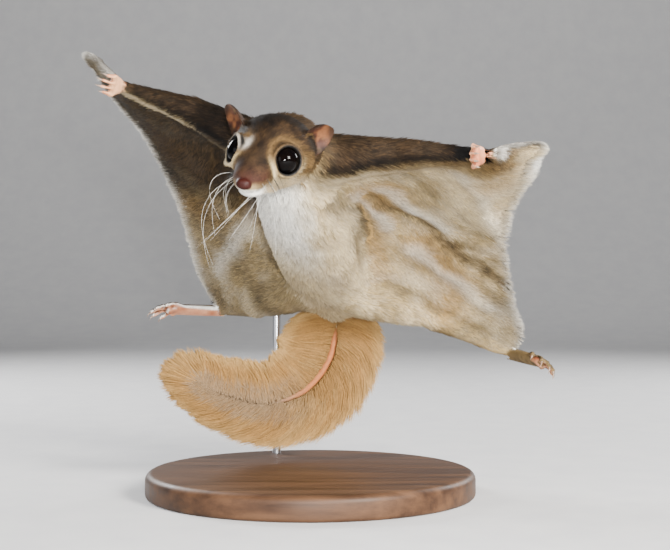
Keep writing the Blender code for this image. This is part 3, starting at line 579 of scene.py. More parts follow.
def comb(field):
    """Lie of the coat at every vertex, a unit direction in the skin."""
    places, normals = field["places"], field["normals"]
    body = in_frame(places, CHEST_POINT, BODY_AXES)
    head = in_frame(places, NAPE_POINT, HEAD_AXES)
    spine = np.tanh(body[:, 1:2] / 7.0)
    torso = of_node(field, "chest", "belly", "rump")[:, None]
    neck = of_node(field, "neck")[:, None]
    lie = torso * (-BODY_FORWARD + 0.55 * spine * BODY_LEFT)
    lie += neck * (-BODY_FORWARD - HEAD_FORWARD + 0.3 * spine * BODY_LEFT)
    lie += of_node(field, "head", "nose")[:, None] * head_lie(head)
    for side_name, side in SIDES.items():
        p = joints(side_name)
        outward = BODY_LEFT * side
        ways = {
            "upper_arm_": unit(p["elbow"] - p["shoulder"]) - 0.45 * BODY_FORWARD,
            "forearm_": unit(p["wrist"] - p["elbow"]) - 0.35 * BODY_FORWARD,
            "hand_": unit(p["wrist"] - p["elbow"]),
            "wing_tip_": unit(p["tip"] - p["wrist"]) - 0.3 * BODY_FORWARD,
            "thigh_": unit(p["knee"] - p["hip"]) - 0.35 * BODY_FORWARD,
            "shank_": unit(p["ankle"] - p["knee"]) - 0.15 * BODY_FORWARD,
            "foot_": unit((FOOT_REACH[side_name] * np.array((1, side, 1))) @ BODY_AXES),
            "membrane_": 0.75 * outward - 0.75 * BODY_FORWARD,
            "ear_": unit((EAR_AXIS[side_name] * (1, side, 1)) @ HEAD_AXES),
        }
        for start, way in ways.items():
            lie += of_node(field, start + side_name)[:, None] * way
        edge = field["edge_" + side_name]
        pull = of_node(field, "membrane_" + side_name) * np.exp(-edge / 6.0)
        lie += pull[:, None] * outward * 0.8
    tail = of_node(field, "tail")[:, None]
    lie += tail * tail_lie(places)
    lie = spread(lie, field["edges"], 14)
    swirl = 0.45 * noise(places, 11.0, 5) + 0.3 * noise(places, 4.0, 6)
    lie = unit(lie)
    lie = lie + np.cross(normals, lie) * swirl[:, None]
    return unit(lie - normals * np.sum(lie * normals, -1, keepdims=True))


def head_lie(head):
    """Lie of the coat on the head: back from the nose and round the eyes."""
    local = folded(head)
    away = local - EYE_CENTRE
    round_eye = np.exp(-((np.linalg.norm(away, axis=-1) / 7.5) ** 2))[:, None]
    lie = np.array((-1.0, 0.25, -0.2)) + round_eye * unit(away) * 1.3
    lie[:, 1] *= np.sign(head[:, 1])
    return lie @ HEAD_AXES


def tail_lie(places):
    """Lie of the short hair along the tail."""
    centre, across, facing, ahead = tail_frames(np.linspace(0, 1, 40))
    gaps = np.linalg.norm(places[:, None, :] - centre[None, :, :], axis=-1)
    index = np.argmin(gaps, axis=1)
    off = np.sum((places - centre[index]) * across[index], -1)
    return ahead[index] + across[index] * np.tanh(off / 2.0)[:, None] * 0.8


def edge_distance(places, line):
    """Distance from each place to the points of a line."""
    best = np.full(len(places), 1e9)
    for point in line:
        best = np.minimum(best, np.sum((places - point) ** 2, -1))
    return np.sqrt(best)


def markings(field):
    """Colour of the coat and bareness of the skin at each vertex."""
    places, normals, edges = field["places"], field["normals"], field["edges"]
    body_up, body_fore = normals @ BODY_UP, normals @ BODY_FORWARD
    wobble = 0.12 * noise(places, 5.0, 11)
    mottle, fine = noise(places, 9.0, 12), noise(places, 2.6, 13)
    arm = of_node(field, "upper_arm", "forearm")
    tip = of_node(field, "wing_tip")
    leg = of_node(field, "thigh", "shank")
    membrane = of_node(field, "membrane")
    lead = body_up + 0.8 * body_fore
    back = smooth_step(-0.3, 0.25, body_up + wobble)
    back = np.where(arm > 0, smooth_step(-1.0, -0.75, lead + wobble), back)
    back = np.where(tip > 0, smooth_step(-0.25, 0.15, body_up + 0.3 * body_fore + wobble), back)
    back = np.where(leg > 0, smooth_step(0.05, 0.45, body_up + wobble), back)
    back = np.where(membrane > 0, smooth_step(-0.1, 0.1, body_up), back)
    back = spread(back, edges, 2)
    above = mix(GREY_BROWN, TAWNY, 0.22 + 0.22 * mottle)
    neck = of_node(field, "neck")
    back = np.where(neck > 0, smooth_step(-0.60, -0.15, body_up + wobble), back)
    back = spread(back, edges, 3)
    below = under_colour(field, (membrane + leg) * (1 - back), mottle, fine)
    colour = mix(below, above, back)
    colour = mix(colour, CHARCOAL, 0.8 * arm * bump(lead, -0.66, 0.30))
    # Dark fur patch on the right arm only, deepened to near black as painted shade under the ear and arm
    patch = np.exp(-((np.linalg.norm(places - (joints("right")["elbow"] + ARM_FUR_AND_SHADE_PATCH), axis=-1) / 10.0) ** 2))
    colour = mix(colour, CHARCOAL, 0.97 * of_node(field, "upper_arm_right", "forearm_right") * patch ** 0.6)
    for side_name in SIDES:
        p = joints(side_name)
        wrist = np.linalg.norm(places - p["wrist"], axis=-1)
        dark = arm * smooth_step(CUFF[side_name], 0.6 * CUFF[side_name], wrist) * smooth_step(-1.0, -0.6, lead)
        colour = mix(colour, CHARCOAL, dark)
    # Right wing tip painted darker as painted shade
    colour = mix(colour, mix(GREY_BROWN, UMBER, 0.5), 0.8 * of_node(field, "wing_tip_right"))
    # White membrane edges: white edge hair with a painted rim highlight
    colour = mix(colour, WHITE, 0.97 * field["rim"])
    colour, bare = face_markings(field, colour, np.zeros(len(places)), fine)
    colour, bare = paw_markings(field, colour, bare, fine)
    share, off, front = tail_place(places)
    stripe = smooth_step(1.9, 1.0, off + 0.3 * fine) * front * smooth_step(0.1, 0.2, share)
    tone = mix(mix(PINK, TAIL_TAN, 0.4), TAIL_GREY, smooth_step(0.38, 0.58, share))
    tail = of_node(field, "tail")
    colour = mix(colour, mix(TAIL_TAN * 0.8, tone, stripe), tail)
    return colour, np.maximum(bare, 0.6 * tail * stripe * (1 - smooth_step(0.4, 0.55, share)))


def under_colour(field, spare, mottle, fine):
    """Cream and white of the under side, with ochre and grey stains on the spread skin, painted shade in its folds and
    on the right membrane, and painted highlight on the fold ridges.
    """
    places = field["places"]
    body = in_frame(places, CHEST_POINT, BODY_AXES)
    left = smooth_step(-4.0, 4.0, body[:, 1])
    colour = mix(CREAM, BEIGE, smooth_step(-0.5, 0.9, mottle + 0.5 * fine + 0.5 * spare))
    ochre = np.exp(-((line_distance(body[:, :2], ((-41.0, 33.0), (-56.0, 42.0), (-70.0, 40.0))) / 9.0) ** 2))
    ochre = np.maximum(ochre, smooth_step(0.1, 0.7, noise(places, 19.0, 31)))
    colour = mix(colour, OCHRE, spare * 0.7 * ochre)
    # The grey line along a crease of the spread skin is painted shade; the noise patches are grey stains
    grey = np.exp(-((line_distance(body[:, :2], ((-38.0, 39.0), (-50.0, 53.0), (-60.0, 58.0))) / 4.5) ** 2))
    grey = np.maximum(grey * smooth_step(-0.7, 0.6, fine + mottle), 0.7 * smooth_step(0.2, 0.8, noise(places, 13.0, 33)))
    colour = mix(colour, UNDER_GREY, spare * 0.75 * grey)
    # Painted shade in the creases of the folds and painted highlight on their ridges
    colour = mix(colour, UNDER_GREY, 0.75 * np.clip(-field["fold"] - 0.25, 0.0, 1.0))
    colour = mix(colour, WHITE, 0.4 * np.clip(field["fold"], 0.0, 1.0))
    # Right membrane painted darker as painted shade: dark brown towards the arm, greyer elsewhere
    right_shade = (1 - left) * smooth_step(-60.0, -34.0, body[:, 0] - 0.25 * body[:, 1] - 14.0)
    colour = mix(colour, UMBER, 0.93 * right_shade * spare)
    colour = mix(colour, UNDER_GREY, 0.35 * (1 - left) * (1 - right_shade) * spare)
    middle = smooth_step(15.0, 5.0, np.abs(body[:, 1] + 5.0 + 3.0 * fine)) * smooth_step(-48.0, -14.0, body[:, 0])
    throat = spread(of_node(field, "neck"), field["edges"], 5)
    middle = middle * (1 - throat * smooth_step(-0.95, -0.65, field["normals"] @ BODY_UP))
    colour = mix(colour, WHITE, 0.9 * middle)
    head = in_frame(places, NAPE_POINT, HEAD_AXES)
    behind = smooth_step(16.0, 10.0, head[:, 0]) * smooth_step(-9.5, -5.5, head[:, 2]) * smooth_step(-12.0, 0.0, head[:, 0])
    colour = mix(colour, BUFF, 0.85 * throat * smooth_step(-0.9, -0.55, field["normals"] @ BODY_UP))
    return mix(colour, mix(BUFF, GREY_BROWN, 0.35), 0.9 * behind)


def paw_markings(field, colour, bare, fine):
    """Pink palms and soles, with hair on the back of each paw."""
    for side_name in SIDES:
        for start, row in paw_rows(side_name).items():
            paw = of_node(field, start + "_" + side_name)
            upper = field["normals"] @ row["upper"]
            furry = smooth_step(-0.75, -0.35, upper) if start == "foot" else 0.45 * smooth_step(0.2, 0.8, upper)
            skin = mix(PINK, PINK_PALE, np.clip(0.5 + 0.5 * fine, 0, 1))
            skin = mix(skin, PINK_DEEP, 0.5 * smooth_step(0.3, 0.9, -fine))
            # Painted shade in the creases of palms, soles and digits
            skin = mix(skin, PINK_DEEP * 0.35, 0.85 * smooth_step(0.0, 0.09, field["crease"]))
            hair = mix(PINK_PALE, CREAM, 0.6)
            if start == "foot":
                hair = mix(WHITE, TAWNY, smooth_step(0.0, 0.6, upper))
            if start == "foot" and side_name == "left":
                ahead = (field["places"] - row["root"]) @ row["way"] / row["length"]
                furry = np.maximum(furry, smooth_step(0.72, 0.60, ahead))
                hair = mix(mix(TAWNY, BEIGE, 0.4), UMBER, 0.6 * smooth_step(0.1, 0.7, np.abs(fine)))
            colour = mix(colour, mix(skin, hair, furry), paw)
            bare = bare * (1 - paw) + paw * (1 - furry)
    return colour, bare


def tail_place(places):
    """Share along the tail, distance off its midline and one on its front face."""
    shares = np.linspace(0, 1, 60)
    centre, across, facing, ahead = tail_frames(shares)
    index = np.argmin(np.linalg.norm(places[:, None, :] - centre[None, :, :], axis=-1), axis=1)
    step = places - centre[index]
    front = (np.sum(step * facing[index], -1) > 0).astype(float)
    return shares[index], np.abs(np.sum(step * across[index], -1)), front


def face_markings(field, colour, bare, fine):
    """Crown, eye rings, cheeks, lips, muzzle and ears."""
    places, normals = field["places"], field["normals"]
    head = in_frame(places, NAPE_POINT, HEAD_AXES)
    local = folded(head)
    on_head = of_node(field, "head")
    height = local[:, 2] + 1.0 * noise(places, 4.0, 21)
    fore = local[:, 0]
    top = normals @ HEAD_UP + 0.12 * noise(places, 3.0, 22)
    crown = smooth_step(-0.02, 0.5, top + 0.25 * smooth_step(14.0, 8.0, fore))
    face = mix(mix(BUFF, CREAM, 0.6 * smooth_step(-3.0, -7.0, height)), CROWN_BROWN, crown)
    brow = crown * smooth_step(12.0, 18.0, fore)
    face = mix(face, TAWNY, np.clip(brow * (0.30 + 0.35 * fine), 0, 1))
    grain = smooth_step(0.1, 0.6, noise(places, 0.9, 24)) * smooth_step(-7.0, -4.0, height)
    face = mix(face, UMBER, 0.45 * grain)
    spot = np.linalg.norm((head - CROWN_SPOT) * (0.7, 1.0, 1.0), axis=-1)
    face = mix(face, CHARCOAL, 0.9 * np.exp(-((spot / 3.0) ** 2)))
    face = mix(face, WHITE, smooth_step(-8.0, -10.5, height) * 0.8)
    muzzle = smooth_step(24.0, 29.5, fore) * bump(local[:, 2], -4.0, 2.6)
    face = mix(face, MAUVE, 0.75 * muzzle)
    lips = smooth_step(24.0, 29.0, fore) * smooth_step(-6.4, -7.8, local[:, 2])
    face = mix(face, WHITE, lips)
    eye = np.linalg.norm(local - EYE_CENTRE, axis=-1)
    ring_tone = mix(mix(BUFF, TAWNY, 0.25), CREAM, smooth_step(2.0, -2.5, local[:, 2] - EYE_CENTRE[2]))
    front = smooth_step(0.0, 3.0, fore - EYE_CENTRE[0]) * smooth_step(1.0, 3.0, local[:, 2] - EYE_CENTRE[2])
    ring_tone = mix(ring_tone, WHITE, 0.35 * front * (head[:, 1] < 0))
    face = mix(face, ring_tone, 0.85 * bump(eye, np.where(head[:, 1] < 0, 5.5, 6.2), 0.75))
    lid = (1 - smooth_step(4.9, 5.5, eye)) * smooth_step(0.9, 1.7, (local - EYE_CENTRE) @ unit(EYE_FACING))
    face = mix(face, CHARCOAL, lid)
    colour = mix(colour, face, on_head)
    bare = np.maximum(bare, on_head * np.maximum(lid, 0.2 * muzzle))
    nose = of_node(field, "nose")
    colour = mix(colour, mix(NOSE_PINK, MAUVE, np.clip(0.4 * fine, 0, 1)), nose)
    bare = np.maximum(bare, nose)
    for side_name, side in SIDES.items():
        ear = of_node(field, "ear_" + side_name)
        facing = (EAR_FACING[side_name] * (1, side, 1)) @ HEAD_AXES
        inside = smooth_step(0.0, 0.4, normals @ unit(facing))
        tone = ear_colours(places, side_name, inside)
        # Painted shade in the creases of the ear's inner side
        tone = mix(tone, UMBER, 0.8 * inside * smooth_step(0.0, 0.10, field["crease"]))
        colour = mix(colour, tone, ear)
        bare = np.maximum(bare, ear * (0.2 + 0.65 * inside))
    return colour, bare


def ear_colours(places, side_name, inside):
    """Pink cup with painted shade in its hollows, a dark rim and a brown back."""
    side = SIDES[side_name]
    step = places - from_head(EAR_ROOT, side)
    axis = unit((EAR_AXIS[side_name] * (1, side, 1)) @ HEAD_AXES)
    facing = (EAR_FACING[side_name] * (1, side, 1)) @ HEAD_AXES
    across = unit(np.cross(facing, axis))
    out, off = step @ axis / EAR_LENGTH, np.abs(step @ across)
    # Mauve patches in the cup are painted shade of its hollows
    hollow_shade = smooth_step(-0.15, 0.25, noise(places, 1.8, 41)) * smooth_step(0.95, 0.6, out)
    cup = mix(EAR_PINK, MAUVE, 0.95 * hollow_shade)
    cup = mix(cup, BUFF, 0.6 * smooth_step(0.2, 0.7, noise(places, 1.7, 43)))
    cup = mix(cup, UMBER, 0.8 * smooth_step(0.30, 0.08, out))
    edge = np.maximum(smooth_step(0.74, 0.92, out), smooth_step(2.6, 3.8, off))
    cup = mix(cup, UMBER, 0.85 * edge)
    return mix(mix(GREY_BROWN, MAUVE, 0.3), cup, inside)


def hair_lengths(field):
    """Length of the hair at each vertex."""
    length = node_values(field, COAT_LENGTH)
    head = in_frame(field["places"], NAPE_POINT, HEAD_AXES)
    local = folded(head)
    on_head = of_node(field, "head")
    muzzle = smooth_step(18.0, 30.0, local[:, 0])
    length -= on_head * muzzle * (COAT_LENGTH["head"] - 0.8)
    length = spread(length, field["edges"], 30)
    eye = np.linalg.norm(local - EYE_CENTRE, axis=-1)
    length *= 1 - 0.65 * on_head * bump(eye, 5.0, 1.6)
    return length


def finish_skin(skin):
    """Draw the skin in, smooth it and keep what the coat needs to know."""
    field = flesh_field(skin)
    edges = field["edges"]
    fine = of_node(field, "head", "nose", "ear", "hand", "foot")
    strength = np.where(fine > 0, 0.25, 0.5)
    field["places"] = spread(field["places"], edges, 3, strength)
    field["places"] = spread(field["places"], edges, 5, 0.5 * (1 - fine))
    field["normals"] = vertex_normals(field["places"], field["tris"])
    depth = inset_depth(field) + GROW
    field["places"] = field["places"] - field["normals"] * depth[:, None]
    field["places"] = eased(field, strength)
    for side_name in SIDES:
        hand = of_node(field, "hand_" + side_name)[:, None]
        moved = clenched(field["places"], paw_rows(side_name)["hand"])
        field["places"] = field["places"] * (1 - hand) + moved * hand
    head = in_frame(field["places"], NAPE_POINT, HEAD_AXES)
    eye = np.linalg.norm(folded(head) - EYE_CENTRE, axis=-1)
    cover = of_node(field, "head") * (head[:, 1] < 0) * bump(eye, 5.8, 1.6)
    cover = cover * smooth_step(-1.0, 2.5, head[:, 0] - EYE_CENTRE[0])
    field["places"] = field["places"] - HEAD_LEFT * (1.3 * cover)[:, None]
    field["normals"] = vertex_normals(field["places"], field["tris"])
    field["crease"] = np.sum((spread(field["places"], edges, 5) - field["places"]) * field["normals"], -1)
    loose = of_node(field, "membrane")
    under = of_node(field, "chest", "belly", "rump", "thigh", "upper_arm")
    loose = spread(np.maximum(loose, under * smooth_step(0.1, -0.5, field["normals"] @ BODY_UP)), edges, 6)
    field["fold"] = fold_heights(field["places"]) * loose
    field["places"] = field["places"] - BODY_UP * field["fold"][:, None]
    field["normals"] = vertex_normals(field["places"], field["tris"])
    # White edge mask of the membranes: white edge hair with a painted rim highlight
    thin = of_node(field, "membrane") * (1 - smooth_step(0.3, 0.75, np.abs(field["normals"] @ BODY_UP)))
    thin = np.clip(1.6 * spread(thin, edges, 2), 0, 1)
    # Convex ridges of the wing tips join the white edge as a painted highlight
    ridge_highlight = of_node(field, "wing_tip") * smooth_step(-0.08, -0.2, field["crease"])
    field["rim"] = np.clip(1.3 * spread(ridge_highlight, edges, 1), 0, 1)
    for side_name in SIDES:
        field["edge_" + side_name] = edge_distance(field["places"], outer_edge(side_name))
        hind = edge_distance(field["places"], hind_edge(side_name))
        beside = of_node(field, "membrane_" + side_name, "wing_tip_" + side_name)
        near = np.maximum(smooth_step(6.0, 4.0, field["edge_" + side_name]), smooth_step(7.0, 5.0, hind))
        edge = beside * np.exp(-((field["edge_" + side_name] / RIM_WIDTH[side_name]) ** 2))
        edge = edge * (1 - 0.85 * smooth_step(0.1, 0.6, field["normals"] @ BODY_UP))
        field["rim"] = np.maximum(field["rim"], np.maximum(edge, thin * near * beside))
    field["charts"] = charts(field)
    field["lie"] = comb(field)
    field["colour"], field["bare"] = markings(field)
    field["length"] = hair_lengths(field)
    skin.data.vertices.foreach_set("co", (field["places"] * MM).ravel())
    skin.data.update()
    paint(skin.data, field["colour"], field["bare"])
    smooth(skin)
    return field


def eased(field, strength):
    """Places with the creases between trunk, limbs and membranes filled softly."""
    edges = field["edges"]
    places = spread(field["places"], edges, 2, strength)
    seam = np.zeros(len(places))
    for starts in (("chest", "belly", "rump"), ("upper_arm", "forearm"), ("thigh", "shank")):
        share = spread(of_node(field, *starts), edges, 12)
        seam = np.maximum(seam, 4 * share * (1 - share))
    flesh = of_node(field, "head", "neck", "nose", "ear", "hand", "foot")
    return spread(places, edges, 22, 0.5 * seam * (1 - spread(flesh, edges, 3)))


def paint(mesh, colour, spare):
    """Write colours and a spare value into the attribute named coat."""
    layer = mesh.color_attributes.new("coat", "FLOAT_COLOR", "POINT")
    rgba = np.concatenate((np.clip(colour, 0, 1), np.asarray(spare)[:, None]), -1)
    layer.data.foreach_set("color", rgba.astype(np.float32).ravel())


def smooth(item):
    """Shade an object smooth."""
    item.data.polygons.foreach_set("use_smooth", np.ones(len(item.data.polygons), bool))


def scatter(field, weight, count, seed):
    """Random roots on the skin, denser where the weight is greater."""
    dice = np.random.default_rng(seed)
    tris, places = field["tris"], field["places"]
    a, b, c = places[tris[:, 0]], places[tris[:, 1]], places[tris[:, 2]]
    area = np.linalg.norm(np.cross(b - a, c - a), axis=-1) / 2
    chance = np.cumsum(area * weight[tris].mean(axis=1))
    pick = np.searchsorted(chance, dice.random(count) * chance[-1])
    pick = np.minimum(pick, len(tris) - 1)
    u, v = dice.random(count), dice.random(count)
    over = u + v > 1
    u, v = np.where(over, 1 - u, u), np.where(over, 1 - v, v)
    shares = np.stack((1 - u - v, u, v), -1)
    roots = {"owner": field["owner"][tris[pick, 0]], "dice": dice, "names": field["names"]}
    for key in ("places", "normals", "lie", "colour"):
        roots[key] = np.einsum("nk,nkd->nd", shares, field[key][tris[pick]])
    for key in ("length", "bare", "edge_left", "edge_right"):
        roots[key] = np.einsum("nk,nk->n", shares, field[key][tris[pick]])
    roots["normals"] = unit(roots["normals"])
    roots["lie"] = unit(roots["lie"])
    return roots


def charts(field):
    """Flat frame of each node's part of the skin, for the unwrap."""
    rows = []
    for index in range(len(field["names"])):
        places = field["places"][field["owner"] == index]
        middle = places.mean(axis=0)
        axes = np.linalg.svd(places - middle, full_matrices=False)[2]
        flat = (places - middle) @ axes.T
        rows.append((middle, axes, flat.min(axis=0), flat.max(axis=0)))
    return rows


def unwrapped(roots, rows):
    """Place of each root on an unwrap of the skin, one tile for each face of each node."""
    spots = np.zeros((len(roots["places"]), 2))
    for index in np.unique(roots["owner"]):
        mine = roots["owner"] == index
        middle, axes, low, high = rows[index]
        flat = ((roots["places"][mine] - middle) @ axes.T - low) / (high - low)
        facing = (roots["normals"][mine] @ axes[2] > 0).astype(int)
        tile = index * 2 + facing
        corner = np.stack((tile % 8, tile // 8), -1) / 8.0
        spots[mine] = corner + 0.004 + flat[:, :2] * (0.125 - 0.008)
    return spots


def hair_faces(rings):
    """Corners of the triangles of one hair and whether each lies on its under side."""
    faces, under = [(0, 2, 1)], [True]
    for k in range(rings - 1):
        for j in range(3):
            a, b = 3 * k + j, 3 * k + (j + 1) % 3
            faces += [(a, b, b + 3), (a, b + 3, a + 3)]
            under += [j == 0, j == 0]
    for j in range(3):
        last = 3 * (rings - 1)
        faces.append((last + j, last + (j + 1) % 3, 3 * rings))
        under.append(j == 0)
    return np.array(faces), np.array(under)


def hair_mesh(name, lines, tops, normals, widths, colours, spots, seen_under=False):
    """Closed tapered hairs, three-sided, from their centre lines."""
    count, levels = lines.shape[:2]
    rings = levels - 1
    size = 3 * rings + 1
    heading = unit(lines[:, -1] - lines[:, 0])
    tops = unit(tops - heading * np.sum(tops * heading, -1, keepdims=True))
    sides = np.cross(tops, heading)
    steps = np.stack([sides * across + tops * up for across, up in HAIR_PROFILE], 1)
    ring = lines[:, :rings, None] + steps[:, None] * widths[:, :rings, None, None]
    places = np.concatenate((ring.reshape(count, -1, 3), lines[:, -1:]), 1).reshape(-1, 3)
    faces, under = hair_faces(rings)
    tris = (faces[None] + (np.arange(count) * size)[:, None, None]).reshape(-1, 3)
    mesh = bpy.data.meshes.new(name)
    mesh.vertices.add(len(places))
    mesh.vertices.foreach_set("co", (places * MM).ravel())
    mesh.loops.add(len(tris) * 3)
    mesh.loops.foreach_set("vertex_index", tris.ravel())
    mesh.polygons.add(len(tris))
    mesh.polygons.foreach_set("loop_start", np.arange(0, len(tris) * 3, 3))
    mesh.polygons.foreach_set("use_smooth", np.ones(len(tris), bool))
    mesh.update(calc_edges=True)
    level = np.repeat(np.arange(rings), 3).tolist() + [rings]
    shade = colours[:, level].reshape(-1, 3)
    paint(mesh, shade, np.zeros(len(shade)))
    fan = 0.0015 * np.array([(math.cos(2.4 * k), math.sin(2.4 * k)) for k in range(size)])
    patch = (spots[:, None, :] + fan[None]).reshape(-1, 2)
    layer = mesh.uv_layers.new(name="OFBake")
    layer.uv.foreach_set("vector", patch[tris.ravel()].astype(np.float32).ravel())
    upper = np.tile(unit(steps + normals[:, None] * HAIR_SHINE), (1, rings, 1))
    upper = np.concatenate((upper, normals[:, None]), 1)
    if seen_under:
        lower = np.tile(unit(steps * 0.8 - normals[:, None] * HAIR_SHINE), (1, rings, 1))
        lower = np.concatenate((lower, -normals[:, None]), 1)
        turns = np.where(under[None, :, None, None], lower[:, faces], upper[:, faces])
        mesh.normals_split_custom_set(turns.reshape(-1, 3).tolist())
    else:
        mesh.normals_split_custom_set_from_vertices(upper.reshape(-1, 3).tolist())
    return new_object(name, mesh)


def gathered(roots, lines, size, strength):
    """Draw the tips of hairs towards the middle one of their clump."""
    places = roots["places"]
    count = max(1, int(len(places) / size))
    picks = roots["dice"].choice(len(places), count, replace=False)
    tree = kdtree.KDTree(count)
    for k, index in enumerate(picks):
        tree.insert(places[index], k)
    tree.balance()
    owner = picks[[tree.find(p)[1] for p in places]]
    share = np.linspace(0, 1, lines.shape[1])[None, :, None] ** 1.5
    pull = (lines[owner] - lines) * share * strength
    return lines + pull


def short_coat(name, field, weight, count, seed, levels, width, lift, clump):
    """One piece of the coat: flat tufts that lie along the skin."""
    roots = scatter(field, weight, count, seed)
    dice = roots["dice"]
    normals, lie = roots["normals"], roots["lie"]
    length = roots["length"] * dice.uniform(0.7, 1.25, count)
    turn = dice.normal(0, 0.13, count)[:, None]
    lie = unit(lie + np.cross(normals, lie) * turn)
    if name == "coat_fringe":
        body = in_frame(roots["places"], CHEST_POINT, BODY_AXES)
        hind = smooth_step(-76.0, -90.0, body[:, :1])
        outward = BODY_LEFT * np.sign(body[:, 1:2]) * (1 - hind) - BODY_FORWARD * hind
        lie = unit(outward + 0.5 * lie + 0.15 * dice.normal(0, 1, (count, 3)))
    rise = lift * dice.uniform(0.6, 1.4, count)
    share = np.linspace(0, 1, levels)
    along = length[:, None] * share
    high = length[:, None] * rise[:, None] * (share - 0.45 * share ** 2) - 0.12
    lines = roots["places"][:, None] + lie[:, None] * along[..., None] + normals[:, None] * high[..., None]
    if clump:
        lines = gathered(roots, lines, clump, 0.55)
    girth = width * dice.uniform(0.75, 1.25, count) * np.clip(length / 2.6, 0.5, 1.1)
    widths = girth[:, None] * (1 - 0.45 * share ** 2)
    colours = hair_colours(roots, share)
    spots = unwrapped(roots, field["charts"])
    if name != "coat_fringe":
        return hair_mesh(name, lines, normals, normals, widths, colours, spots)
    tops = BODY_UP * dice.choice((-1.0, 1.0), count, p=(0.7, 0.3))[:, None]
    return hair_mesh(name, lines, tops, unit(tops + normals * 0.5), widths, colours, spots, seen_under=True)


def hair_colours(roots, share):
    """Root, middle and tip colours of each tuft."""
    dice = roots["dice"]
    base = roots["colour"]
    count = len(base)
    light = base.mean(axis=1)
    pale = smooth_step(0.08, 0.28, light)
    grizzled = (1 - pale) * smooth_step(0.004, 0.016, light)
    pick = dice.random(count)
    speck = noise(roots["places"], 0.55, 91) + 0.6 * noise(roots["places"], 1.5, 92)
    tip = base * (dice.uniform(0.8, 1.25, count) * (1 + (0.20 + 0.34 * (1 - pale)) * speck))[:, None]
    pick = pick + 0.35 * speck
    tip = mix(tip, TAWNY * 1.2, grizzled * (pick > 0.8) * 0.6)
    tip = mix(tip, CHARCOAL, (1 - pale) * (pick < 0.25) * 0.7)
    tip = mix(tip, WHITE, pale * 0.22 * dice.random(count))
    root = mix(base * 0.5, UNDER_GREY * 0.7, pale * 0.5)
    steps = np.clip(share * 1.6, 0, 1)[None, :, None]
    return np.clip(root[:, None] * (1 - steps) + tip[:, None] * steps, 0, 1)


def tail_hair(name, count, side, seed):
    """Long hair of one side of the tail, swept outward and fanned at the tip."""
    dice = np.random.default_rng(seed)
    start = dice.uniform(0.0, 0.9, count)
    face = dice.choice((-1.0, 1.0), count, p=(0.4, 0.6))
    layer = dice.uniform(0.3, 1.0, count) * face
    reach = np.where(dice.random(count) < 0.72, dice.uniform(0.84, 1.04, count), dice.uniform(0.4, 0.9, count))
    reach = reach * (1 + 0.04 * noise(np.stack((start * 40, np.zeros(count), np.zeros(count)), -1), 1.0, seed))
    bare = 0.055 * (face > 0) * smooth_step(0.12, 0.2, start) * (1 - smooth_step(0.48, 0.55, start))
    root = bare + 0.34 * dice.uniform(0.0, 1.0, count) ** 1.3
    t = np.linspace(0, 1, 4)[None]
    sweep = 0.10 * dice.uniform(0.7, 1.3, count)[:, None] * (0.5 + 0.5 * reach[:, None])
    shares = start[:, None] + sweep * t ** 1.3
    centre, across, facing, ahead = tail_frames(shares)
    half, thick = rows_at(TAIL_WIDTH, np.clip(shares, 0, 1))
    out = side * half * (root[:, None] + (reach - root)[:, None] * t ** 0.85)
    lines = centre + across * out[..., None]
    tip = dice.random(count) < TIP_HAIRS
    lines[tip] = tip_fan(dice, int(tip.sum()), side, t)
    start = np.where(tip, 0.9, start)
    thick = np.where(tip[:, None], 2.2, thick)
    facing = np.where(tip[:, None, None], facing[np.argmax(start)], facing)
    lift = layer[:, None] * thick * (0.75 - 0.5 * t) + 0.5 * dice.normal(0, 1, count)[:, None] * t
    lines = lines + facing * lift[..., None]
    normals = unit(facing[:, 1] * face[:, None] + 0.25 * across[:, 1] * side)
    roots = {"places": lines[:, 1], "dice": dice}
    lines = gathered(roots, lines, 10, 0.62)
    widths = 0.22 * dice.uniform(0.75, 1.25, count)[:, None] * (1 - 0.55 * t ** 2)
    colours = tail_colours(start, reach, t[0], dice, count, noise(lines[:, 0], 4.0, 77))
    tile = np.where(face > 0, 50, 52) + (side > 0)
    corner = np.stack((tile % 8, tile // 8), -1) / 8.0
    spots = np.stack((start, 0.5 + 0.5 * side * root), -1)
    spots = corner + 0.004 + np.clip(spots, 0, 1) * (0.125 - 0.008)
    return hair_mesh(name, lines, normals, normals, widths, colours, spots, seen_under=True)


def tip_fan(dice, count, side, t):
    """Centre lines of the hairs that spread round the tip of the tail."""
    base, across, facing, ahead = tail_frames(np.array([TIP_START]))
    angle = dice.uniform(-0.15, 1.45, count)[:, None]
    reach = dice.uniform(0.75, 1.04, count)[:, None]
    end = base + (ahead * np.cos(angle) * TIP_AHEAD + across * side * np.sin(angle) * TIP_ACROSS) * reach
    first = end - base
    root = base + first * dice.uniform(0.0, 0.45, count)[:, None] - ahead * dice.uniform(0, 5, count)[:, None]
    return root[:, None] + (end - root)[:, None] * t[..., None]


def tail_colours(start, reach, t, dice, count, patch):
    """Tan hair with a greyish root, pale at the tips."""
    base = mix(TAIL_TAN, BEIGE, 0.12 + 0.2 * np.clip(patch, 0, 1))
    base = base * dice.uniform(0.85, 1.15, count)[:, None]
    grey = smooth_step(0.35, 0.6, start)
    root = mix(base * 0.85, TAIL_GREY, 0.75 * grey)
    tip = mix(base, TAIL_PALE, 0.75 * smooth_step(0.7, 1.0, reach))
    first = np.clip(t / 0.35, 0, 1)[None, :, None]
    second = np.clip((t - 0.62) / 0.38, 0, 1)[None, :, None]
    colours = root[:, None] * (1 - first) + base[:, None] * first
    return np.clip(colours * (1 - second) + tip[:, None] * second, 0, 1)


def new_material(name):
    """Empty material with its shader and node tree."""
    item = bpy.data.materials.new(name)
    item.use_nodes = True
    tree = item.node_tree
    return item, tree, tree.nodes["Principled BSDF"]


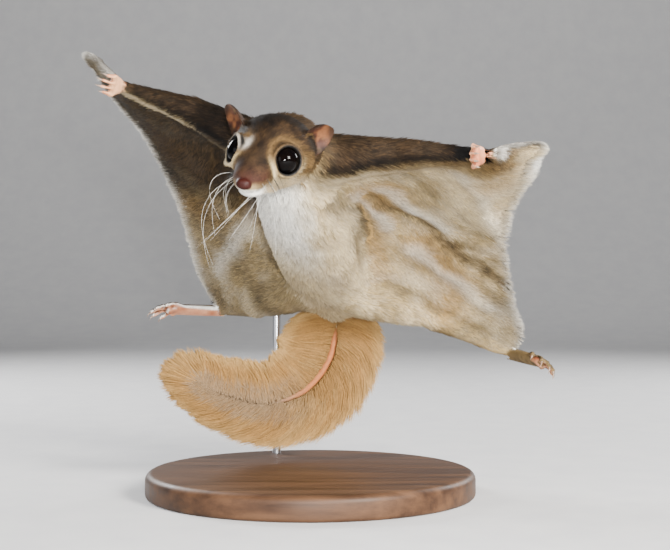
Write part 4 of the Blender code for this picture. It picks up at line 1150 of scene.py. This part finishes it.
def new_group(name, inputs, outputs):
    """Shader node group with the given sockets."""
    tree = bpy.data.node_groups.new(name, "ShaderNodeTree")
    for label, kind in inputs:
        tree.interface.new_socket(label, in_out="INPUT", socket_type="NodeSocket" + kind)
    for label, kind in outputs:
        tree.interface.new_socket(label, in_out="OUTPUT", socket_type="NodeSocket" + kind)
    return tree, tree.nodes.new("NodeGroupInput"), tree.nodes.new("NodeGroupOutput")


def add_noise(tree, vector, scale, detail, rough=0.6):
    """Noise texture node; returns its node."""
    node = tree.nodes.new("ShaderNodeTexNoise")
    node.inputs["Scale"].default_value = scale
    node.inputs["Detail"].default_value = detail
    node.inputs["Roughness"].default_value = rough
    tree.links.new(vector, node.inputs["Vector"])
    return node


def add_range(tree, value, low, high, start, end):
    """Map a value from one range to another; returns the output socket."""
    node = tree.nodes.new("ShaderNodeMapRange")
    for label, number in (("From Min", low), ("From Max", high), ("To Min", start), ("To Max", end)):
        node.inputs[label].default_value = number
    tree.links.new(value, node.inputs["Value"])
    return node.outputs["Result"]


def add_mix(tree, share, first, second, blend="MIX"):
    """Colour mix; sockets or fixed colours; returns the output socket."""
    node = tree.nodes.new("ShaderNodeMix")
    node.data_type = "RGBA"
    node.blend_type = blend
    for value, socket in ((share, node.inputs[0]), (first, node.inputs[6]), (second, node.inputs[7])):
        if isinstance(value, bpy.types.NodeSocket):
            tree.links.new(value, socket)
        else:
            socket.default_value = value
    return node.outputs[2]


def object_coordinates(tree):
    """Object coordinate socket of a tree."""
    return tree.nodes.new("ShaderNodeTexCoord").outputs["Object"]


def coat_group():
    """Light and dark flecks over the painted colour of hair."""
    tree, start, end = new_group("hair_flecks", (("Color", "Color"),), (("Color", "Color"), ("Rough", "Float")))
    spot = object_coordinates(tree)
    fleck = add_noise(tree, spot, 1400.0, 3.0)
    patch = add_noise(tree, spot, 260.0, 2.0)
    shade = add_range(tree, fleck.outputs["Fac"], 0.3, 0.7, 0.82, 1.14)
    tone = add_mix(tree, 1.0, start.outputs["Color"], shade, "MULTIPLY")
    broad = add_range(tree, patch.outputs["Fac"], 0.3, 0.7, 0.9, 1.08)
    tree.links.new(add_mix(tree, 1.0, tone, broad, "MULTIPLY"), end.inputs["Color"])
    tree.links.new(add_range(tree, fleck.outputs["Fac"], 0.2, 0.8, 0.55, 0.8), end.inputs["Rough"])
    return tree


def skin_group():
    """Fine grain of the skin, coarser where hair lies over it."""
    tree, start, end = new_group(
        "skin_grain", (("Color", "Color"), ("Bare", "Float")),
        (("Color", "Color"), ("Rough", "Float"), ("Height", "Float")))
    spot = object_coordinates(tree)
    pore = add_noise(tree, spot, 2200.0, 3.0)
    crease = add_noise(tree, spot, 620.0, 4.0)
    tone = add_range(tree, crease.outputs["Fac"], 0.3, 0.7, 0.84, 1.1)
    tree.links.new(add_mix(tree, 1.0, start.outputs["Color"], tone, "MULTIPLY"), end.inputs["Color"])
    rough = tree.nodes.new("ShaderNodeMath")
    rough.operation = "MULTIPLY_ADD"
    rough.inputs[1].default_value = -0.42
    rough.inputs[2].default_value = 0.88
    tree.links.new(start.outputs["Bare"], rough.inputs[0])
    tree.links.new(rough.outputs[0], end.inputs["Rough"])
    total = tree.nodes.new("ShaderNodeMath")
    total.operation = "ADD"
    tree.links.new(pore.outputs["Fac"], total.inputs[0])
    tree.links.new(crease.outputs["Fac"], total.inputs[1])
    tree.links.new(total.outputs[0], end.inputs["Height"])
    return tree


def use_group(tree, group):
    """Place a node group in a material."""
    node = tree.nodes.new("ShaderNodeGroup")
    node.node_tree = group
    return node


def painted(tree):
    """Node that reads the attribute named coat."""
    node = tree.nodes.new("ShaderNodeVertexColor")
    node.layer_name = "coat"
    return node


def hair_material(name, gloss):
    """Hair that takes its colour from the painted attribute."""
    item, tree, shader = new_material(name)
    group = use_group(tree, made["hair_flecks"])
    tree.links.new(painted(tree).outputs["Color"], group.inputs["Color"])
    tree.links.new(group.outputs["Color"], shader.inputs["Base Color"])
    tree.links.new(group.outputs["Rough"], shader.inputs["Roughness"])
    shader.inputs["Specular IOR Level"].default_value = gloss
    return item


def skin_material():
    """Skin under the coat and bare skin, told apart by the attribute's alpha."""
    item, tree, shader = new_material("squirrel_skin")
    group = use_group(tree, made["skin_grain"])
    colour = painted(tree)
    tree.links.new(colour.outputs["Color"], group.inputs["Color"])
    tree.links.new(colour.outputs["Alpha"], group.inputs["Bare"])
    tree.links.new(group.outputs["Color"], shader.inputs["Base Color"])
    tree.links.new(group.outputs["Rough"], shader.inputs["Roughness"])
    shader.inputs["Specular IOR Level"].default_value = 0.14
    add_bump(tree, shader, group.outputs["Height"], 0.35, 0.0003)
    return item


def add_bump(tree, shader, height, strength, distance):
    """Bump from a height socket."""
    node = tree.nodes.new("ShaderNodeBump")
    node.inputs["Strength"].default_value = strength
    node.inputs["Distance"].default_value = distance
    tree.links.new(height, node.inputs["Height"])
    tree.links.new(node.outputs["Normal"], shader.inputs["Normal"])


def two_tone(name, first, second, scale, rough, metallic=0.0, height=0.0, stretch=(1, 1, 1)):
    """Material of two near colours in a stretched noise."""
    item, tree, shader = new_material(name)
    scaled = tree.nodes.new("ShaderNodeMapping")
    scaled.inputs["Scale"].default_value = stretch
    tree.links.new(object_coordinates(tree), scaled.inputs["Vector"])
    grain = add_noise(tree, scaled.outputs["Vector"], scale, 5.0)
    share = add_range(tree, grain.outputs["Fac"], 0.35, 0.65, 0.0, 1.0)
    tree.links.new(add_mix(tree, share, (*first, 1), (*second, 1)), shader.inputs["Base Color"])
    tree.links.new(add_range(tree, grain.outputs["Fac"], 0.3, 0.7, rough[0], rough[1]), shader.inputs["Roughness"])
    shader.inputs["Metallic"].default_value = metallic
    if height:
        add_bump(tree, shader, grain.outputs["Fac"], 0.3, height)
    return item


def put(item, look, *nodes, slot=None):
    """Give a piece its material and its place on the root body, and hide the imported nodes that it stands for."""
    item.data.materials.clear()
    item.data.materials.append(look)
    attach(item, "root")
    if nodes:
        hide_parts(*nodes)
    made[item.name] = item
    return item


def make_eye(side_name):
    """Glossy dark eyeball."""
    side = SIDES[side_name]
    build = bmesh.new()
    bmesh.ops.create_uvsphere(build, u_segments=64, v_segments=40, radius=EYE_RADIUS * MM)
    centre = from_head(EYE_CENTRE, side)
    facing = Vector((EYE_FACING * (1, side, 1)) @ HEAD_AXES)
    turn = facing.to_track_quat("Z", "Y").to_matrix()
    bmesh.ops.rotate(build, verts=build.verts, cent=(0, 0, 0), matrix=turn)
    bmesh.ops.translate(build, verts=build.verts, vec=Vector(centre * MM))
    mesh = bpy.data.meshes.new("eye_" + side_name + "_ball")
    build.to_mesh(mesh)
    build.free()
    item = new_object(mesh.name, mesh)
    smooth(item)
    return item


def tube(build, path, radii, sides, colour=None, layer=None):
    """Closed tapered tube added to a bmesh."""
    path = np.asarray(path, float)
    heading = unit(np.gradient(path, axis=0))
    helper = np.array((0.0, 0.0, 1.0)) if abs(heading[0][2]) < 0.8 else np.array((1.0, 0.0, 0.0))
    rings = []
    for k, place in enumerate(path):
        across = unit(np.cross(heading[k], helper))
        top = np.cross(across, heading[k])
        ring = []
        for j in range(sides):
            angle = 2 * math.pi * j / sides
            spot = place + (across * math.cos(angle) + top * math.sin(angle)) * radii[k]
            vert = build.verts.new(spot * MM)
            if layer is not None:
                vert[layer] = (*colour[k], 0.0)
            ring.append(vert)
        rings.append(ring)
    for a, b in zip(rings, rings[1:]):
        for j in range(sides):
            build.faces.new((a[j], a[(j + 1) % sides], b[(j + 1) % sides], b[j]))
    build.faces.new(rings[0][::-1])
    build.faces.new(rings[-1])


def bent_line(root, first, last, length, count):
    """Curve that leaves along one direction and turns evenly to another."""
    t = np.linspace(0, 1, count)[:, None]
    heading = unit(unit(first) * (1 - t) ** 1.4 + unit(last) * t ** 0.8)
    steps = np.cumsum(heading, axis=0) - heading[:1]
    return root + steps * (length / count)


def make_whiskers():
    """Long whiskers of the muzzle and chin, and short dark whiskers beside them."""
    dice = np.random.default_rng(17)
    build = bmesh.new()
    layer = build.verts.layers.float_color.new("coat")
    steps = np.linspace(0, 1, 20)
    for side_name, side in SIDES.items():
        for k in range(WHISKERS):
            row, rank = k % 3, k // 3
            root = from_head((30.8 - 1.5 * rank, 3.7 + 0.45 * rank, -4.6 - 1.1 * row), side)
            spray, tilt = dice.uniform(-0.7, 0.7, 2)
            if side < 0:
                first = np.array((-1.0, -0.2 + spray, -0.1 - 0.3 * row + 0.8 * tilt))
                last = np.array((0.30 + 0.5 * tilt, 0.15, -1.0))
                reach = 10 + 30 * dice.random() ** 2
            else:
                first = np.array((0.05 - 0.2 * row + spray, -0.7, -0.7))
                last = np.array((-0.55 + spray, 0.35, -1.0))
                reach = dice.uniform(16, 32)
            path = bent_line(root, first, last, reach, 20)
            colour = [mix(UMBER, WHITE, min(0.85, 0.4 + 1.6 * t)) for t in steps]
            tube(build, path, (0.030 - 0.019 * steps) * dice.uniform(0.8, 1.2), 5, colour, layer)
        for k in range(7):
            root = from_head((29.0 - 0.9 * k, 4.2 + 0.3 * k, -3.2 - 0.8 * (k % 3)), side)
            first = HEAD_LEFT * side * 0.6 + HEAD_FORWARD * 0.2 - HEAD_UP * 0.5
            last = first - HEAD_UP * 1.2 - HEAD_FORWARD * dice.uniform(0.2, 0.8)
            path = bent_line(root, first, last, dice.uniform(6, 11), 20)
            tube(build, path, 0.055 - 0.035 * steps, 4, [CHARCOAL] * 20, layer)
    bmesh.ops.recalc_face_normals(build, faces=build.faces)
    mesh = bpy.data.meshes.new("whiskers")
    build.to_mesh(mesh)
    build.free()
    item = new_object("whiskers", mesh)
    smooth(item)
    return item


def paw_rows(side_name):
    """Root, direction, upper side, sizes and digits of both paws of one side."""
    p = joints(side_name)
    flip = np.array((1, SIDES[side_name], 1))
    hand_way = unit((HAND_REACH[side_name] * flip) @ BODY_AXES)
    arm = unit(p["wrist"] - p["elbow"])
    foot_way = unit((FOOT_REACH[side_name] * flip) @ BODY_AXES)
    return {
        "hand": {
            "root": p["wrist"] - arm * 1.6 + hand_way * 0.4, "way": hand_way,
            "upper": unit(hand_way * (arm @ hand_way) - arm), "length": HAND_LENGTH, "half": HAND_HALF,
            "count": 4, "digit": FINGER_LENGTH, "spread": FINGER_SPREAD, "bow": FINGER_BOW,
        },
        "foot": {
            "root": p["ankle"] - foot_way * 1.5, "way": foot_way,
            "upper": unit(BODY_UP - foot_way * (BODY_UP @ foot_way)), "length": FOOT_LENGTH, "half": FOOT_HALF,
            "count": 5, "digit": TOE_LENGTH, "spread": TOE_SPREAD, "bow": TOE_BOW,
        },
    }


def digit_line(paw, rank):
    """Centre line, heading at the tip and length of one finger or toe."""
    t = 2 * rank / (paw["count"] - 1) - 1
    across = np.cross(paw["upper"], paw["way"])
    aim = paw["way"] * math.cos(paw["spread"] * t) + across * math.sin(paw["spread"] * t)
    palm = paw["length"] - paw["digit"]
    start = paw["root"] + paw["way"] * (palm * (0.86 - 0.1 * t * t)) + across * (paw["half"] * 0.72 * t)
    reach = paw["digit"] * (1.0 - 0.22 * abs(t) ** 1.5)
    line = np.array([start + aim * (reach * s) - paw["upper"] * (bow * reach) for s, bow in paw["bow"]])
    return line, unit(line[-1] - line[-3]), reach


def clenched(places, paw):
    """Places of a hand with its fingers drawn together and shortened."""
    step = places - paw["root"]
    across = np.cross(paw["upper"], paw["way"])
    ahead, off = step @ paw["way"], step @ across
    palm = paw["length"] - paw["digit"]
    beyond = np.maximum(ahead - palm, 0.0)
    squeeze = 0.35 * smooth_step(0.0, 3.0, beyond)
    return places - paw["way"] * (0.28 * beyond)[..., None] - across * (squeeze * off)[..., None]


def make_claws():
    """Curved claws at the tips of all fingers and toes."""
    build = bmesh.new()
    for side_name in SIDES:
        for start, paw in paw_rows(side_name).items():
            for rank in range(paw["count"]):
                line, ahead, reach = digit_line(paw, rank)
                path = np.array([line[-2] + ahead * (reach * s) - paw["upper"] * (reach * d) for s, d in CLAW_CURVE])
                if start == "hand":
                    path = clenched(path, paw)
                thick = paw["half"] * 0.15
                tube(build, path, [thick * r for r in (0.75, 0.72, 0.6, 0.42, 0.22, 0.05)], 8)
    bmesh.ops.recalc_face_normals(build, faces=build.faces)
    mesh = bpy.data.meshes.new("claws")
    build.to_mesh(mesh)
    build.free()
    item = new_object("claws", mesh)
    smooth(item)
    return item


def cylinder(name, radius, low, high, place, segments, rims):
    """Upright cylinder with rounded rims, given as height and width of each rim."""
    build = bmesh.new()
    bmesh.ops.create_cone(
        build, cap_ends=True, segments=segments, radius1=radius * MM, radius2=radius * MM, depth=(high - low) * MM)
    bmesh.ops.translate(build, verts=build.verts, vec=Vector((*place, (low + high) / 2)) * MM)
    for height, width in rims:
        rim = [e for e in build.edges if all(abs(v.co.z - height * MM) < 1e-7 for v in e.verts)]
        bmesh.ops.bevel(
            build, geom=rim, offset=width * MM, offset_type="OFFSET", segments=5, profile=0.5,
            affect="EDGES", material=-1)
    mesh = bpy.data.meshes.new(name)
    build.to_mesh(mesh)
    build.free()
    item = new_object(name, mesh)
    for face in mesh.polygons:
        face.use_smooth = True
    mesh.set_sharp_from_angle(angle=math.radians(35))
    return item


def area_light(name, place, target, size, power, colour):
    """Soft square light aimed at a point."""
    data = bpy.data.lights.new(name, "AREA")
    data.size = size
    data.energy = power
    data.color = colour
    item = bpy.data.objects.new(name, data)
    item.location = Vector(place)
    item.rotation_mode = "QUATERNION"
    item.rotation_quaternion = (Vector(target) - Vector(place)).to_track_quat("-Z", "Y")
    bpy.context.scene.collection.objects.link(item)
    item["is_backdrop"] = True
    return item


class SquirrelCoat(bpy.types.PropertyGroup):
    """Sizes of the coat."""

    tufts: IntProperty(name="Tufts", description="Tufts in a full piece of the coat", default=20000, min=100)
    width: FloatProperty(name="Tuft width", description="Half width of a tuft in millimetres", default=0.13)
    lift: FloatProperty(name="Lift", description="How steeply the hair rises from the skin", default=0.40)


class SquirrelStage(bpy.types.PropertyGroup):
    """Camera and light."""

    lens: FloatProperty(name="Lens", description="Focal length in millimetres", default=74.2)
    key: FloatProperty(name="Key light", description="Power of the main light in watts", default=21.0)
    rim: FloatProperty(name="Rim light", description="Power of each light behind in watts", default=5.0)
    sky: FloatProperty(name="Sky", description="Strength of the even light", default=0.22)


class SQUIRREL_OT_skin(bpy.types.Operator):
    """Skin over all the flesh of the body"""

    bl_idname = "squirrel.skin"
    bl_label = "Make skin"

    def execute(self, context):
        """Build the skin and its materials."""
        made["hair_flecks"] = coat_group()
        made["skin_grain"] = skin_group()
        skin = make_skin_mesh()
        made["field"] = finish_skin(skin)
        flesh = set(FINE_NODES + BODY_NODES + TAIL_NODES)
        put(skin, skin_material(), *sorted(flesh), slot="fur_belly")
        return {"FINISHED"}


class SQUIRREL_OT_coat(bpy.types.Operator):
    """Short coat of the head, body, limbs and membranes"""

    bl_idname = "squirrel.coat"
    bl_label = "Make coat"

    def execute(self, context):
        """Scatter the tufts of every piece of the coat."""
        sizes = context.scene.squirrel_coat
        field = made["field"]
        if not len(field["places"]):
            raise RuntimeError("the skin is empty")
        look = hair_material("squirrel_hair", 0.10)
        furry = 1 - smooth_step(0.3, 0.7, field["bare"])
        head = in_frame(field["places"], NAPE_POINT, HEAD_AXES)
        under = (field["normals"] @ BODY_UP < 0).astype(float)
        face = of_node(field, "head") * furry * smooth_step(8.0, 16.0, head[:, 0])
        nape = of_node(field, "head", "neck") * furry * (1.05 - smooth_step(8.0, 18.0, head[:, 0]))
        membrane = of_node(field, "membrane", "wing_tip")
        left = of_node(field, "membrane_left", "wing_tip_left")
        inner = 1 - 0.8 * field["rim"]
        full = sizes.tufts
        rows = (
            ("coat_face", face, 2.4, 2, 0.8, 1.3, 0),
            ("coat_head", nape, 1.5, 2, 1.0, 1.0, 6),
            ("coat_body", of_node(field, "chest", "belly", "rump"), 2.1, 2, 1.1, 0.75, 8),
            ("coat_arms", of_node(field, "upper_arm", "forearm"), 1.7, 2, 0.95, 0.9, 6),
            ("coat_legs", of_node(field, "thigh", "shank"), 1.0, 2, 1.1, 0.9, 7),
            ("coat_under_left", left * under * inner, 2.3, 2, 1.05, 0.7, 8),
            ("coat_under_right", (membrane - left) * under * inner, 1.4, 2, 1.2, 0.7, 8),
            ("coat_over", membrane * (1 - under) * inner, 1.1, 2, 1.7, 0.7, 8),
            ("coat_fringe", membrane * field["rim"], 1.1, 2, 0.85, 0.3, 5),
            ("coat_trim", of_node(field, "ear", "hand", "foot") * (1.02 - field["bare"]), 0.45, 2, 0.8, 1.0, 0),
        )
        for seed, (name, weight, share, levels, wide, lift, clump) in enumerate(rows):
            piece = short_coat(
                name, field, weight, int(full * share), 100 + seed, levels, sizes.width * wide,
                sizes.lift * lift, clump)
            put(piece, look, slot="fur_back" if name in ("coat_head", "coat_arms", "coat_face") else "fur_belly")
        return {"FINISHED"}


class SQUIRREL_OT_tail(bpy.types.Operator):
    """Long hair of the tail"""

    bl_idname = "squirrel.tail"
    bl_label = "Make tail hair"

    def execute(self, context):
        """Grow the hair of both sides."""
        look = hair_material("tail_hair", 0.09)
        for name, side, seed in (("coat_tail_outer", -1.0, 51), ("coat_tail_inner", 1.0, 52)):
            put(tail_hair(name, TAIL_HAIRS, side, seed), look, slot="fur_tail")
        return {"FINISHED"}


class SQUIRREL_OT_face(bpy.types.Operator):
    """Eyes, whiskers and claws"""

    bl_idname = "squirrel.face"
    bl_label = "Make eyes, whiskers and claws"

    def execute(self, context):
        """Build the small pieces that stay apart from the skin."""
        gloss = two_tone("eye_gloss", (0.0006, 0.0006, 0.0008), (0.0018, 0.0010, 0.0008), 300.0, (0.02, 0.04))
        gloss.node_tree.nodes["Principled BSDF"].inputs["Specular IOR Level"].default_value = 0.07
        for side_name in SIDES:
            put(make_eye(side_name), gloss, "eye_" + side_name, slot="eye_black")
        put(make_whiskers(), hair_material("whisker_hair", 0.5), slot="fur_belly")
        horn = two_tone("claw_horn", (0.16, 0.10, 0.07), (0.40, 0.29, 0.22), 900.0, (0.3, 0.45))
        put(make_claws(), horn, slot="bare_skin")
        return {"FINISHED"}


class SQUIRREL_OT_stand(bpy.types.Operator):
    """Base and rod of the display stand"""

    bl_idname = "squirrel.stand"
    bl_label = "Make stand"

    def execute(self, context):
        """Turn the base and set the rod in it."""
        base = cylinder("stand_base_turned", 54.0, 0.0, 8.0, (0.0, 0.0), 128, ((8.0, 2.4), (0.0, 1.2)))
        wood = two_tone("stand_wood_grain", (0.026, 0.012, 0.006), (0.075, 0.036, 0.017), 42.0, (0.42, 0.56),
                        height=0.0002, stretch=(0.5, 5.0, 5.0))
        wood.node_tree.nodes["Principled BSDF"].inputs["Specular IOR Level"].default_value = 0.2
        put(base, wood, "stand_base", slot="stand_wood")
        rod = cylinder("stand_rod_round", 1.5, 7.6, 66.0, (-13.0, 43.0), 32, ())
        steel = two_tone("stand_steel_brushed", (0.42, 0.42, 0.43), (0.52, 0.52, 0.53), 700.0, (0.24, 0.36),
                         metallic=1.0, stretch=(1.0, 1.0, 0.05))
        put(rod, steel, "stand_rod", slot="stand_steel")
        return {"FINISHED"}


class SQUIRREL_OT_stage(bpy.types.Operator):
    """Floor, lights and camera"""

    bl_idname = "squirrel.stage"
    bl_label = "Make stage"

    def execute(self, context):
        """Lay the floor, hang the lights and place the camera."""
        sizes = context.scene.squirrel_stage
        build = bmesh.new()
        profile = [(-1.6, 0.0), (0.9, 0.0)]
        profile += [(0.9 + 0.5 * math.sin(a), 0.5 - 0.5 * math.cos(a)) for a in np.linspace(0.1, math.pi / 2, 16)]
        profile.append((1.4, 2.2))
        rows = [[build.verts.new((x, y, z)) for x in (-3.0, 3.0)] for y, z in profile]
        for a, b in zip(rows, rows[1:]):
            build.faces.new((a[0], a[1], b[1], b[0]))
        mesh = bpy.data.meshes.new("floor")
        build.to_mesh(mesh)
        build.free()
        floor = new_object("floor", mesh)
        smooth(floor)
        pale = two_tone("floor_pale", (0.50, 0.50, 0.51), (0.54, 0.54, 0.54), 60.0, (0.7, 0.8), height=0.0001)
        floor.data.materials.append(pale)
        floor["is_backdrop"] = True
        world = bpy.data.worlds.new("studio")
        context.scene.world = world
        world.use_nodes = True
        sky = world.node_tree.nodes["Background"]
        sky.inputs["Color"].default_value = (0.86, 0.90, 1.0, 1.0)
        sky.inputs["Strength"].default_value = sizes.sky
        middle = (0.0, 0.0, 0.085)
        area_light("key", (0.42, -0.55, 0.32), middle, 0.22, sizes.key, (1.0, 0.96, 0.90))
        area_light("fill", (-0.55, -0.6, 0.15), middle, 0.5, sizes.key * 0.16, (0.93, 0.96, 1.0))
        area_light("rim_left", (-0.45, 0.45, 0.40), middle, 0.25, sizes.rim * 1.6, (1.0, 1.0, 1.0))
        area_light("rim_right", (0.5, 0.45, 0.35), middle, 0.25, sizes.rim, (1.0, 1.0, 1.0))
        area_light("flash", (0.03, -0.50, 0.10), middle, 0.03, sizes.key * 0.22, (1.0, 1.0, 1.0))
        camera = bpy.data.cameras.new("camera")
        camera.lens = sizes.lens
        camera.clip_start = 0.01
        item = bpy.data.objects.new("camera", camera)
        item.location = (0.008, -0.454, 0.072)
        item.rotation_euler = (math.pi / 2, 0.0, 0.0)
        context.scene.collection.objects.link(item)
        context.scene.camera = item
        return {"FINISHED"}


OPERATORS = (
    SQUIRREL_OT_skin, SQUIRREL_OT_coat, SQUIRREL_OT_tail, SQUIRREL_OT_face, SQUIRREL_OT_stand, SQUIRREL_OT_stage,
)


class SQUIRREL_PT_panel(bpy.types.Panel):
    """Sizes and steps of the squirrel model"""

    bl_label = "Squirrel"
    bl_idname = "SQUIRREL_PT_panel"
    bl_space_type = "VIEW_3D"
    bl_region_type = "UI"
    bl_category = "Squirrel"

    def draw(self, context):
        """List the sizes and the steps."""
        for group in (context.scene.squirrel_coat, context.scene.squirrel_stage):
            for name in group.__annotations__:
                self.layout.prop(group, name)
        for step in OPERATORS:
            self.layout.operator(step.bl_idname)


CLASSES = (SquirrelCoat, SquirrelStage, *OPERATORS, SQUIRREL_PT_panel)


def register():
    """Add the classes and the settings."""
    for item in CLASSES:
        bpy.utils.register_class(item)
    bpy.types.Scene.squirrel_coat = PointerProperty(type=SquirrelCoat)
    bpy.types.Scene.squirrel_stage = PointerProperty(type=SquirrelStage)


def unregister():
    """Remove the settings and the classes."""
    del bpy.types.Scene.squirrel_stage
    del bpy.types.Scene.squirrel_coat
    for item in reversed(CLASSES):
        bpy.utils.unregister_class(item)


def corners():
    """Lowest and highest corner of what is shown."""
    return [list(map(float, corner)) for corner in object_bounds()]


def main():
    """Build the model and the stage."""
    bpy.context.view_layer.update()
    register()
    bpy.ops.squirrel.skin()
    bpy.ops.squirrel.coat()
    bpy.ops.squirrel.tail()
    bpy.ops.squirrel.face()
    bpy.ops.squirrel.stand()
    bpy.ops.squirrel.stage()


if __name__ == "__main__":
    main()
